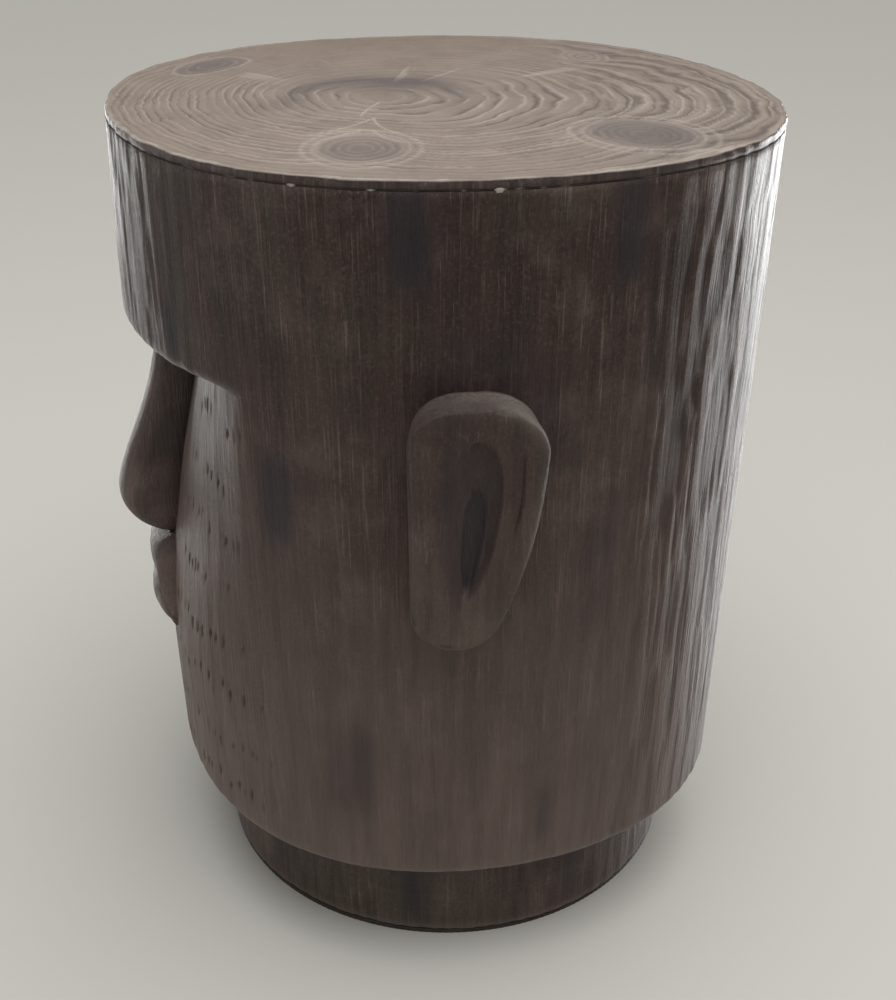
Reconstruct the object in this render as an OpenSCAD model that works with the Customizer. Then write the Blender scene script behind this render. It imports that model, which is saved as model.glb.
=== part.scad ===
// Hollow cast stool in the form of a stylised stone head, with a wood-grain disc on top.
// The origin is on the drum's axis at the floor. The face looks along -Y and the ears are at +X and -X.
// Angle a is measured round the drum from the face (-Y) towards +X.

/* [Overall] */
// Mean diameter across the top
top_d = 345; // [300:5:420]
// Height from the floor to the top face
total_h = 450; // [420:5:540]
// Thickness of the cast walls
wall = 12; // [9:0.5:15]
// How much the drum's radius shrinks from the top to the jaw
taper = 7.5; // [0:0.5:15]

/* [Hand-shaped outline] */
// How far the drum's outline is moved off the axis
outline_lean = 4.75; // [0:0.25:6]
// Direction in which it is moved, from the face towards +X
outline_lean_a = 43; // [0:1:90]
// Size of the oval in the outline, on the radius
outline_oval = 3; // [0:0.25:5]
// Size of the four soft corners in the outline, on the radius
outline_corners = 2.75; // [0:0.25:4]

/* [Face] */
// Distance from the top down to the brow's lower edge
brow_drop = 109.5; // [90:0.5:120]
// How deep the face is cut in under the brow
recess_d = 41; // [30:1:50]
// Angle from the middle of the face to where the recess ends
recess_a = 56.5; // [45:0.5:62]
// Height above the jaw at which the recess has faded out
chin_h = 71; // [60:0.5:85]
// How far the brow's lower edge stands forward of the drum
brow_d = 5; // [0:0.5:9]
// Radius of the rounded lower edge of the jaw
jaw_edge = 8; // [3:0.5:12]
// Radius of the rounded lower edge of the brow
brow_edge = 8; // [1:0.5:12]

/* [Nose] */
// Height of the nose's underside above the jaw
nose_z = 133; // [126:0.5:142]
// How far the nose stands out at its root
nose_root_d = 25.5; // [20:0.5:32]
// How far the nose stands out at its tip
nose_tip_d = 36; // [30:0.5:44]
// Width of the nose at its root
nose_root_w = 34; // [28:1:44]
// Width of the nose at the nostrils
nose_tip_w = 60; // [48:1:72]

/* [Mouth] */
// Height of the mouth line above the jaw, in the middle
mouth_z = 105; // [98:0.5:112]
// Height of the mouth's corners above the jaw
mouth_corner_z = 91; // [82:0.5:97]
// Height of the lower lip, in the middle
lower_lip_h = 34; // [28:1:40]
// Width of the mouth from corner to corner
mouth_w = 104; // [90:1:125]
// How far the upper lip stands out in the middle
upper_lip_d = 15.5; // [11:0.5:20]
// How far the lower lip stands out in the middle
lower_lip_d = 13.5; // [10:0.5:18]

/* [Ears] */
// Height of an ear
ear_h = 130; // [118:1:150]
// Height of an ear's top above the brow's lower edge
ear_rise = 15.3; // [10:0.5:25]
// Width of an ear, measured round the drum
ear_w = 57; // [50:1:68]
// How far an ear stands out at its top
ear_top_d = 19; // [16:0.5:26]
// How far an ear stands out at its lobe
ear_lobe_d = 14; // [10:0.5:18]
// Depth of the scoop in the outer face of an ear
scoop_d = 5; // [2:0.5:7]

/* [Top disc] */
// Thickness of the disc's lip, which lies over the head's rim
lip_t = 4; // [3:0.5:8]
// Depth of the disc's spigot, which fits inside the head's rim
spigot_h = 12; // [8:0.5:18]
// How far the disc's edge is set in from the drum
disc_inset = 1; // [0:0.5:3]
// Thickness of the filler in the seam below the disc
seam_t = 1; // [0.6:0.1:2]
// Depth of the filler, measured in from the drum
seam_w = 6; // [4:0.5:8]

/* [Plinth and foot] */
// Height of the plinth ring, without its tongue
plinth_h = 65.5; // [50:0.5:80]
// How far the plinth is set in from the jaw
plinth_inset = 23.5; // [15:0.5:35]
// Height of the tongue that keys the plinth into the head
tongue_h = 6; // [4:0.5:8]
// Width of the tongue
tongue_w = 5; // [4:0.5:6]
// Thickness of the head's floor flange
flange_t = 14; // [12:0.5:18]
// How far the flange reaches in past the plinth's wall
flange_lip = 12; // [6:0.5:20]
// Thickness of the rubber foot ring
foot_t = 2.5; // [1.5:0.5:5]
// Width of the rubber foot ring
foot_w = 9; // [6:0.5:9]

/* [Fits] */
// Radius of the pegs cast on the nose, lips and ears
peg_r = 5; // [4:0.5:6]
// Length of a peg inside the head's wall
peg_l = 7; // [5:0.5:7]
// Clearance round and beyond a peg or a tongue
peg_gap = 0.5; // [0.2:0.1:1]
// Thickness of the bond between an added feature and the head
bond = 0.4; // [0.3:0.1:1]
// Clearance between the spigot and the head's wall
spigot_gap = 1; // [0.5:0.1:2]
// Thickness of the glass-fibre scrim
scrim_t = 0.8; // [0.5:0.1:1.5]

/* [Hidden] */
// Points round the drum
around = 72;
$fn = 96;
jaw_z = foot_t + plinth_h;
brow_z = total_h - brow_drop;
fade_z = jaw_z + chin_h;
rim_z = total_h - lip_t - seam_t;
jaw_r = top_d / 2 - taper;
plinth_r = jaw_r - plinth_inset;
flange_r = plinth_r - wall - flange_lip;
ledge_blend = 2;

// ---- Shape of the head ----

// Distance from the axis to the drum, at angle a and height z
function drum_r(a, z) = top_d / 2 - taper * (total_h - z) / (total_h - jaw_z)
    + outline_lean * cos(a - outline_lean_a)
    + outline_oval * cos(2 * a + 93)
    + outline_corners * cos(4 * a + 120);
// 0 below from, 1 above to, and a smooth rise between
function ease(v, from, to) = let (t = max(0, min(1, (v - from) / (to - from)))) t * t * (3 - 2 * t);
// Share of the recess's depth at angle a: 1 in the middle of the face, 0 from recess_a outwards
function recess_share(a) = max(0, (cos(a) - cos(recess_a)) / (1 - cos(recess_a)));
function recess_at(a, z) = recess_share(a) * recess_d
    * pow(max(0, min(1, (z - fade_z) / (brow_z - fade_z))), 1.5);
function brow_at(a, z) = recess_share(a) * brow_d * max(0, (total_h - z) / brow_drop);
// Angle folded to the range -180 to 180
function fold(a) = a > 180 ? a - 360 : a;
// Distance from the axis to the brow, and to the head's face below the brow
function brow_r(a, z) = drum_r(a, z) + brow_at(fold(a), z);
function face_r(a, z) = drum_r(a, z) - recess_at(fold(a), z);
// How far the face is forward of the axis at distance x to the side
function face_fwd(x, z) = let (
        a1 = asin(x / face_r(0, z)),
        a2 = asin(x / face_r(a1, z)),
        a3 = asin(x / face_r(a2, z))
    ) face_r(a3, z) * cos(a3);
function at_polar(r, a, z) = [r * sin(a), -r * cos(a), z];
function steps(from, to, count) = [for (i = [0:count - 1]) from + (to - from) * i / (count - 1)];

// A ring at height z below the brow, set in by inset
function face_ring(z, inset = 0, shape_z = undef) = let (s = is_undef(shape_z) ? z : shape_z)
    [for (i = [0:around - 1]) let (a = i * 360 / around) at_polar(face_r(a, s) - inset, a, z)];
// A ring at height z on the brow: edge is cut from it only where the brow overhangs the face
function brow_ring(z, inset = 0, edge = 0) = [for (i = [0:around - 1]) let (a = i * 360 / around)
    at_polar(brow_r(a, z) - inset - edge * min(1, 5 * recess_share(fold(a))), a, z)];
function round_ring(r, z) = [for (i = [0:around - 1]) at_polar(r, i * 360 / around, z)];
// Outline of the drum at the top, set in by inset
function rim_outline(inset) = [for (i = [0:around - 1])
    let (a = i * 360 / around, r = drum_r(a, total_h) - inset) [r * sin(a), -r * cos(a)]];

// ---- Skins ----

// Triangles between rings of count points, from ring 0 to ring last
function sides(count, last) = [for (j = [0:last - 1], i = [0:count - 1]) let (
        n = (i + 1) % count,
        low = j * count,
        high = low + count
    ) each [[low + i, high + i, high + n], [low + i, high + n, low + n]]];

// A closed solid through rings, each seen anticlockwise from the last ring's side
module skin(rings) {
    count = len(rings[0]);
    last = len(rings) - 1;
    points = [for (ring = rings) each ring];
    middles = [for (ring = [rings[0], rings[last]]) [for (k = [0:2]) mean([for (p = ring) p[k]])]];
    first_cap = [for (i = [0:count - 1]) [len(points), i, (i + 1) % count]];
    last_cap = [for (i = [0:count - 1]) [len(points) + 1, last * count + (i + 1) % count, last * count + i]];
    polyhedron(concat(points, middles), concat(sides(count, last), first_cap, last_cap));
}

function mean(values) = values * [for (v = values) 1] / len(values);

// A closed wall whose last ring joins its first
module wall_skin(rings) {
    count = len(rings[0]);
    total = len(rings) * count;
    points = [for (ring = rings) each ring];
    wrapped = [for (f = sides(count, len(rings))) [for (k = f) k % total]];
    polyhedron(points, wrapped);
}

// ---- Head ----

face_zs = steps(jaw_z + jaw_edge + 8, brow_z - 12, 15);
outer_rings = concat(
    [for (t = [0, 30, 60, 90]) face_ring(jaw_z + jaw_edge * (1 - cos(t)), jaw_edge * (1 - sin(t)))],
    [for (z = face_zs) face_ring(z)],
    [face_ring(brow_z)],
    [for (t = [0, 45, 90])
        brow_ring(brow_z + ledge_blend + brow_edge * (1 - cos(t)), 0, brow_edge * (1 - sin(t)))],
    [for (z = steps(brow_z + 30, rim_z, 3)) brow_ring(z)]
);
// The head's inner surface, from the rim down to the flange, set in by depth
function inner_rings(depth, top, bottom) = concat(
    [brow_ring(top, depth)],
    [brow_ring(brow_z + depth + ledge_blend, depth)],
    [face_ring(brow_z + depth, depth, brow_z)],
    [for (z = steps(brow_z - 12, jaw_z + flange_t + 40, 8)) face_ring(z, depth)],
    [face_ring(bottom, depth)]
);

module peg(x, z, from, to) {
    translate([x, -from, z]) rotate([-90, 0, 0]) cylinder(h = from - to, r = peg_r);
}

module peg_hole(x, z) {
    fwd = face_fwd(x, z);
    translate([x, -fwd - wall, z]) rotate([-90, 0, 0])
        cylinder(h = wall + peg_l + peg_gap, r = peg_r + peg_gap);
}

nose_pegs = [[0, jaw_z + nose_z + 30], [0, brow_z - 40]];
upper_lip_pegs = [for (x = [-20, 20]) [x, jaw_z + (mouth_z + nose_z) / 2]];
lower_lip_pegs = [for (x = [-14, 14]) [x, jaw_z + mouth_z - lower_lip_h / 2]];
ear_mid_z = brow_z + ear_rise - ear_h / 2;
ear_peg_zs = [ear_mid_z - 32, ear_mid_z + 32];

module head_shell() {
    color("#4a403c") difference() {
        wall_skin(concat(
            outer_rings,
            inner_rings(wall, rim_z, jaw_z + flange_t),
            [round_ring(flange_r, jaw_z + flange_t), round_ring(flange_r, jaw_z)]
        ));
        for (p = concat(nose_pegs, upper_lip_pegs, lower_lip_pegs)) peg_hole(p[0], p[1]);
        for (side = [-1, 1], z = ear_peg_zs) ear_peg_hole(side, z);
        tongue(peg_gap);
    }
}

module head_mesh() {
    gap = 3 * bond;
    top = rim_z - spigot_h - scrim_t - gap;
    bottom = jaw_z + flange_t + gap;
    inner = inner_rings(wall + gap + scrim_t, top, bottom);
    outer = inner_rings(wall + gap, top, bottom);
    color("#c9c5b4") wall_skin(concat([for (i = [len(outer) - 1:-1:0]) outer[i]], inner));
}

// ---- Nose ----

nose_low = jaw_z + nose_z;
nose_high = brow_z - bond;
// Share of the way down the nose, 0 at its root and 1 at its underside
function down_nose(z) = (nose_high - z) / (nose_high - nose_low);
// Rounding of the tip: a quarter ellipse over the last fifth
function tip_round(t) = sqrt(max(0, 1 - pow(max(0, t - 0.79) / 0.215, 2)));
function nose_d(t) = (nose_root_d + (nose_tip_d - nose_root_d) * ease(t, 0.32, 0.85)) * tip_round(t);
// Half width: half of the widening is gained evenly down the bridge, and half at the top of the nostrils
function nose_half(t) = let (widening = (ease(t, 0, 0.7) + ease(t, 0.64, 0.8)) / 2)
    (nose_root_w + (nose_tip_w - nose_root_w) * widening) / 2 * (0.6 + 0.4 * tip_round(t));

module nose() {
    across = steps(-90, 90, 15);
    heights = [for (t = concat(steps(1, 0.8, 7), steps(0.72, 0, 8))) nose_high - t * (nose_high - nose_low)];
    rings = [for (z = heights) let (t = down_nose(z), half = nose_half(t), d = nose_d(t))
        concat(
            [for (q = across) let (x = half * sign(q) * pow(abs(sin(q)), 0.65))
                [x, -face_fwd(x, z) - bond - (d - bond) * pow(max(0, cos(q)), 0.45), z]],
            [for (i = [1:7]) let (x = half * (1 - i / 4)) [x, -face_fwd(x, z) - bond, z]]
        )];
    color("#3a302d") union() {
        skin(rings);
        for (p = nose_pegs) peg(p[0], p[1], face_fwd(p[0], p[1]) + 6, face_fwd(p[0], p[1]) - peg_l);
    }
}

// ---- Lips ----

lip_end = 0.985;
function mouth_line(u) = jaw_z + mouth_z - (mouth_z - mouth_corner_z) * pow(abs(u), 1.8);
function upper_edge(u) = let (low = mouth_line(u) + bond)
    low + max(4, (nose_low - bond - low) * (1 - 0.9 * ease(abs(u), 0.5, 1)));
function lower_edge(u) = mouth_line(u) - bond - max(4, lower_lip_h * (1 - u * u));
// How far a lip stands out along the mouth, where middle is its value in the middle
function lip_d_at(u, middle) = 3 + (middle - 3) * pow(max(0, 1 - u * u), 0.75);

// One lip: low and high are its edges, out is how far it stands out, and full is where along its height it
// does so. low_power says how it falls away below that, from 0.5 for round to 2 for a long slope
module lip(low, high, out, full, low_power, pegs) {
    rise = steps(0, 1, 9);
    rings = [for (i = [0:24]) let (u = lip_us[i], x = u * mouth_w / 2, z0 = low[i], h = high[i] - low[i])
        concat(
            [for (v = rise) [x, -face_fwd(x, z0 + h * v) - bond, z0 + h * v]],
            [for (k = [8:-1:0]) let (
                    v = rise[k],
                    bulge = v > full ? (v - full) / (1 - full) : (full - v) / full,
                    d = (lip_d_at(u, out) - 1) * pow(max(0, 1 - bulge * bulge), v > full ? 0.5 : low_power)
                ) [x, -face_fwd(x, z0 + h * v) - bond - 1 - d, z0 + h * v]]
        )];
    color("#453a37") union() {
        skin(rings);
        for (p = pegs) peg(p[0], p[1], face_fwd(p[0], p[1]) + 5, face_fwd(p[0], p[1]) - peg_l);
    }
}

lip_us = [for (i = [-12:12]) lip_end * sin(i * 7.5)];

module upper_lip() {
    lip([for (u = lip_us) mouth_line(u) + bond], [for (u = lip_us) upper_edge(u)],
        upper_lip_d, 0.6, 0.7, upper_lip_pegs);
}

module lower_lip() {
    lip([for (u = lip_us) lower_edge(u)], [for (u = lip_us) mouth_line(u) - bond],
        lower_lip_d, 0.74, 1.2, lower_lip_pegs);
}

// ---- Ears ----

// The ear's outline as [s, z]: s runs round the drum, positive to the back, and z is from the ear's middle
front_r = ear_w * 0.36;
back_r = ear_w * 0.46;
lobe_r = ear_w * 0.35;
ear_front = -ear_w * 0.27;
ear_back = ear_front + ear_w;
function arc(c, r, from, to, count) = [for (t = steps(from, to, count)) c + r * [cos(t), sin(t)]];
lobe_arc = arc([ear_front + lobe_r, lobe_r - ear_h / 2], lobe_r, 180, 338, 8);
top_arc = arc([ear_back - back_r, ear_h / 2 - back_r], back_r, -8, 90, 7);
// Back edge: a curve from the lobe to the top that bulges backwards
bulge_point = [ear_back - 2, lobe_arc[7][1] + 38];
back_curve = [for (t = [0.2, 0.4, 0.6, 0.8])
    pow(1 - t, 2) * lobe_arc[7] + 2 * t * (1 - t) * bulge_point + t * t * top_arc[0]];
ear_outline = concat(top_arc, arc([ear_front + front_r, ear_h / 2 - front_r], front_r, 90, 180, 5),
    lobe_arc, back_curve);
ear_centre = [ear_front + ear_w * 0.44, ear_h * 0.05];

// Each layer is [share of the outline, inset, share of the ear's depth, extra depth]
ear_layers = [
    [0.4, 0, 0, 0], [1, 0, 0, 0], [1, 0, 0.6, 0], [1, 1.2, 0.85, 0], [1, 4, 0.98, 0], [1, 8, 1, 0],
    [0.52, 0, 0.97, 0], [0.36, 0, 1, -scoop_d], [0.14, 0, 1, -scoop_d]
];

function ear_point(side, p, depth, extra) = let (
        z = ear_mid_z + p[1],
        a = side * (90 + p[0] / jaw_r * 180 / PI),
        full = ear_lobe_d + (ear_top_d - ear_lobe_d) * (p[1] / ear_h + 0.5)
    ) at_polar(face_r(a, z) + bond + (full - bond) * depth + extra, a, z);

module ear(side) {
    outline = side > 0 ? ear_outline : [for (i = [len(ear_outline) - 1:-1:0]) ear_outline[i]];
    rings = [for (layer = ear_layers) [for (p = outline) let (
            arm = p - ear_centre,
            q = ear_centre + arm * (layer[0] - layer[1] / norm(arm))
        ) ear_point(side, q, layer[2], layer[3])]];
    color("#463c38") union() {
        skin(rings);
        for (z = ear_peg_zs) ear_peg(side, z, face_r(90 * side, z) + 6, face_r(90 * side, z) - peg_l, 0);
    }
}

module ear_peg(side, z, from, to, gap) {
    translate([side * to, 0, z]) rotate([0, side * 90, 0]) cylinder(h = from - to, r = peg_r + gap);
}

module ear_peg_hole(side, z) {
    r = face_r(90 * side, z);
    ear_peg(side, z, r + wall, r - peg_l - peg_gap, peg_gap);
}

module ear_left() {
    ear(1);
}

module ear_right() {
    ear(-1);
}

// ---- Top disc ----

// A flat layer between two heights, with the drum's outline set in by inset
module rim_layer(low, high, inset) {
    translate([0, 0, low]) linear_extrude(high - low) polygon(rim_outline(inset));
}

module top_slab() {
    edge = 0.25 * lip_t;
    color("#8d837a") union() {
        rim_layer(rim_z - spigot_h, total_h - lip_t, wall + spigot_gap);
        rim_layer(total_h - lip_t, total_h - edge, disc_inset);
        rim_layer(total_h - edge, total_h, disc_inset + edge);
    }
}

module rim_seam() {
    color("#b9b1a6") translate([0, 0, rim_z]) linear_extrude(seam_t) difference() {
        polygon(rim_outline(0.5 - disc_inset));
        polygon(rim_outline(seam_w));
    }
}

module slab_mesh() {
    color("#c9c5b4") rim_layer(rim_z - spigot_h - scrim_t, rim_z - spigot_h, wall + spigot_gap + 3);
}

// ---- Plinth and foot ----

// A plain ring between two radii and two heights
module ring(inner, outer, low, high) {
    translate([0, 0, low]) rotate_extrude() translate([inner, 0]) square([outer - inner, high - low]);
}

// The plinth's tongue, made larger all round by gap to cut its groove
module tongue(gap) {
    middle = plinth_r - wall / 2;
    ring(middle - tongue_w / 2 - gap, middle + tongue_w / 2 + gap, jaw_z - 1, jaw_z + tongue_h + gap);
}

module plinth() {
    color("#3d3431") union() {
        ring(plinth_r - wall, plinth_r, foot_t, jaw_z);
        tongue(0);
    }
}

module plinth_mesh() {
    inner = plinth_r - wall - bond;
    color("#c9c5b4") ring(inner - scrim_t, inner, foot_t + 4, jaw_z - 4);
}

module foot_ring() {
    middle = plinth_r - wall / 2;
    color("#1c1c1c") ring(middle - foot_w / 2, middle + foot_w / 2, 0, foot_t);
}

top_slab();
rim_seam();
head_shell();
nose();
upper_lip();
lower_lip();
ear_left();
ear_right();
plinth();
foot_ring();
head_mesh();
slab_mesh();
plinth_mesh();
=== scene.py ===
"""Hollow cast stool in the form of a stylised stone head, with a wood-grain disc on top.

Everything is in metres. The origin is on the drum's axis at the floor, +Z is up, the face looks along -Y, and
the figure's left ear is at +X. An angle round the drum is measured from the face towards +X, in radians.
"""

from __future__ import annotations

import logging
import math
from dataclasses import dataclass, field
from enum import Enum
from typing import Any

import bpy
import numpy as np
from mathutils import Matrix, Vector


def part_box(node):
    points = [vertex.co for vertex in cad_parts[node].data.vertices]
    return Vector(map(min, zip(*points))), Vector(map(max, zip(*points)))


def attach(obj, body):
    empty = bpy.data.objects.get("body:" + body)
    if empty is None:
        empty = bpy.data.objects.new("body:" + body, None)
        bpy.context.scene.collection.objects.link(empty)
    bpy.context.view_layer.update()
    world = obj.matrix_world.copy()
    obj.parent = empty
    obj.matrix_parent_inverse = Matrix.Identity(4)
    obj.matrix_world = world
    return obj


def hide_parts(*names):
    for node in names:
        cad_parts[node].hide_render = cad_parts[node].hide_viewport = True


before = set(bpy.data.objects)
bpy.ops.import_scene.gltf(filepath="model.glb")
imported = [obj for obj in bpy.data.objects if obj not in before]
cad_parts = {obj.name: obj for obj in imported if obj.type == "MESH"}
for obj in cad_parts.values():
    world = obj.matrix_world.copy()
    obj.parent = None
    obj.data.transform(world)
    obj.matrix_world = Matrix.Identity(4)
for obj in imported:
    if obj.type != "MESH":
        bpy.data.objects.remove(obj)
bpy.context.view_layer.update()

LOG = logging.getLogger("stool")
BODY = "root"
TAU = 2.0 * math.pi
MM = 0.001
SENSOR_WIDTH = 36.0

Array = np.ndarray
Colour = tuple[float, float, float]


# ---------------------------------------------------------------------------------------------------------
# Numbers
# ---------------------------------------------------------------------------------------------------------


def ease(value: Array, low: float, high: float) -> Array:
    """A smooth rise: 0 below low, 1 above high, and 3t^2 - 2t^3 between them.

    Args:
        value: The numbers to ease.
        low: Where the rise starts. It may be above high, and then the curve falls.
        high: Where the rise ends.

    Returns:
        The eased numbers, from 0 to 1.
    """
    t = np.clip((value - low) / (high - low), 0.0, 1.0)
    return t * t * (3.0 - 2.0 * t)


def bell(value: Array, middle: Array | float, width: Array | float) -> Array:
    """A bell curve, exp(-((value - middle) / width)^2)."""
    return np.exp(-(((value - middle) / width) ** 2))


def near_angle(angle: Array, middle: float) -> Array:
    """The signed difference of two angles, folded to the range -pi to pi."""
    return np.mod(angle - middle + math.pi, TAU) - math.pi


def value_noise(u: Array, v: Array, cells: tuple[int, int], seed: int) -> Array:
    """Smooth noise from a lattice of random values, repeating once round u.

    The noise at a point is the eased mix of the four lattice values round it. u and v are counted in cells,
    so noise with few cells along v and many along u makes long streaks.

    Args:
        u: Position across the lattice, where 0 and 1 are the same place.
        v: Position up the lattice. It may run past 0 and 1.
        cells: Number of cells in one unit of u and of v.
        seed: Seed of the lattice's values.

    Returns:
        Numbers from 0 to 1.
    """
    columns, rows = cells
    table = np.random.default_rng(seed).random((rows * 3, columns))
    x, y = u * columns, v * rows
    column, row = np.floor(x).astype(int), np.floor(y).astype(int)
    fx, fy = x - column, y - row
    fx, fy = fx * fx * (3.0 - 2.0 * fx), fy * fy * (3.0 - 2.0 * fy)
    left, right = column % columns, (column + 1) % columns
    low, high = row % (rows * 3), (row + 1) % (rows * 3)
    bottom = table[low, left] * (1.0 - fx) + table[low, right] * fx
    top = table[high, left] * (1.0 - fx) + table[high, right] * fx
    return bottom * (1.0 - fy) + top * fy


def layered_noise(u: Array, v: Array, cells: tuple[int, int], seed: int, layers: int = 3) -> Array:
    """Sum of value noises, each with twice the cells and half the weight of the one before it."""
    total, weight_sum = np.zeros(np.broadcast(u, v).shape), 0.0
    for k in range(layers):
        weight = 0.5**k
        total = total + weight * value_noise(u, v, (cells[0] * 2**k, cells[1] * 2**k), seed + k)
        weight_sum += weight
    return total / weight_sum


# ---------------------------------------------------------------------------------------------------------
# Meshes
# ---------------------------------------------------------------------------------------------------------


class Ends(Enum):
    """How a grid of rings is closed."""

    CAPPED = "capped"
    JOINED = "joined"


def grid_object(
    name: str, rings: Array, ends: Ends, marks: dict[str, Array] | None = None
) -> bpy.types.Object:
    """Makes a closed mesh from rings of points, with quads between neighbouring rings.

    Quad (i, j) joins points j and j + 1 of ring i to those of ring i + 1. The rings are seen anticlockwise
    from the side they advance to, so the faces point outwards.

    Args:
        name: Name of the object.
        rings: Points as an array of ring, point in ring, and coordinate.
        ends: CAPPED closes both ends with a fan round the middle of the end ring. JOINED joins the last ring
            to the first.
        marks: Values from 0 to 1 for each point, stored as attributes that the finish reads.

    Returns:
        The new object, smooth shaded and linked to the scene.
    """
    count, around = rings.shape[:2]
    points = rings.reshape(-1, 3)
    last = count if ends is Ends.JOINED else count - 1
    row, column = np.meshgrid(np.arange(last), np.arange(around), indexing="ij")
    beside, above = (column + 1) % around, (row + 1) % count
    quads = np.stack(
        [row * around + column, row * around + beside, above * around + beside, above * around + column], -1
    ).reshape(-1, 4)
    corners, sizes = [quads.ravel()], [np.full(len(quads), 4)]
    extra = 0
    if ends is Ends.CAPPED:
        middles = np.stack([rings[0].mean(0), rings[-1].mean(0)])
        base = len(points)
        points = np.concatenate([points, middles])
        extra = 2
        j = np.arange(around)
        n = (j + 1) % around
        top = (count - 1) * around
        fans = np.concatenate(
            [
                np.stack([np.full(around, base), n, j], -1),
                np.stack([np.full(around, base + 1), top + j, top + n], -1),
            ]
        )
        corners.append(fans.ravel())
        sizes.append(np.full(len(fans), 3))
    loops, lengths = np.concatenate(corners), np.concatenate(sizes)
    mesh = bpy.data.meshes.new(name)
    mesh.vertices.add(len(points))
    mesh.vertices.foreach_set("co", points.astype(np.float32).ravel())
    mesh.loops.add(len(loops))
    mesh.loops.foreach_set("vertex_index", loops.astype(np.int32))
    mesh.polygons.add(len(lengths))
    mesh.polygons.foreach_set("loop_start", np.concatenate([[0], np.cumsum(lengths)[:-1]]).astype(np.int32))
    mesh.polygons.foreach_set("loop_total", lengths.astype(np.int32))
    mesh.polygons.foreach_set("use_smooth", np.ones(len(lengths), bool))
    mesh.update(calc_edges=True)
    for mark, values in (marks or {}).items():
        layer = mesh.attributes.new(mark, "FLOAT", "POINT")
        flat = np.concatenate([np.broadcast_to(values, rings.shape[:2]).ravel(), np.zeros(extra)])
        layer.data.foreach_set("value", flat.astype(np.float32))
    mesh.validate()
    made = bpy.data.objects.new(name, mesh)
    bpy.context.scene.collection.objects.link(made)
    return made


def polar_points(radius: Array, angle: Array, height: Array) -> Array:
    """Points at a distance from the axis, an angle from the face and a height."""
    radius, angle, height = np.broadcast_arrays(radius, angle, height)
    return np.stack([radius * np.sin(angle), -radius * np.cos(angle), height], -1)


def place(piece: bpy.types.Object, finish: Finish, node: str) -> bpy.types.Object:
    """Dresses a new piece, lets it stand for a CAD node, and reports it.

    Args:
        piece: The new object.
        finish: Its finish.
        node: The CAD node that it replaces.

    Returns:
        The same object.
    """
    piece.data.materials.append(finish.material())
    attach(piece, BODY)
    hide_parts(node)
    LOG.info("%s stands for %s: %d faces", piece.name, node, len(piece.data.polygons))
    return piece


# ---------------------------------------------------------------------------------------------------------
# Shader building
# ---------------------------------------------------------------------------------------------------------


class Wire:
    """An output socket that takes part in arithmetic: each operator adds a Math node."""

    def __init__(self, tree: bpy.types.NodeTree, socket: bpy.types.NodeSocket) -> None:
        """Wraps a socket of a node tree."""
        self.tree = tree
        self.socket = socket

    def _math(self, operation: str, first: Any, second: Any, clamp: bool = False) -> Wire:
        """Adds one Math node.

        Args:
            operation: The node's operation.
            first: A Wire or a number.
            second: A Wire or a number.
            clamp: True to keep the result from 0 to 1.

        Returns:
            The result.
        """
        node = self.tree.nodes.new("ShaderNodeMath")
        node.operation = operation
        node.use_clamp = clamp
        for slot, value in zip(node.inputs, (first, second)):
            if isinstance(value, Wire):
                self.tree.links.new(value.socket, slot)
            else:
                slot.default_value = value
        return Wire(self.tree, node.outputs[0])

    def __add__(self, other: Any) -> Wire:
        """Sum."""
        return self._math("ADD", self, other)

    __radd__ = __add__

    def __sub__(self, other: Any) -> Wire:
        """Difference."""
        return self._math("SUBTRACT", self, other)

    def __rsub__(self, other: Any) -> Wire:
        """Difference, with this as the second term."""
        return self._math("SUBTRACT", other, self)

    def __mul__(self, other: Any) -> Wire:
        """Product."""
        return self._math("MULTIPLY", self, other)

    __rmul__ = __mul__

    def __truediv__(self, other: Any) -> Wire:
        """Quotient."""
        return self._math("DIVIDE", self, other)

    def __pow__(self, other: Any) -> Wire:
        """Power."""
        return self._math("POWER", self, other)

    def held(self) -> Wire:
        """The same value kept from 0 to 1."""
        return self._math("ADD", self, 0.0, clamp=True)

    def rise(self, low: float, high: float) -> Wire:
        """0 at low, 1 at high, straight between them and flat outside."""
        return ((self - low) / (high - low)).held()


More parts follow.
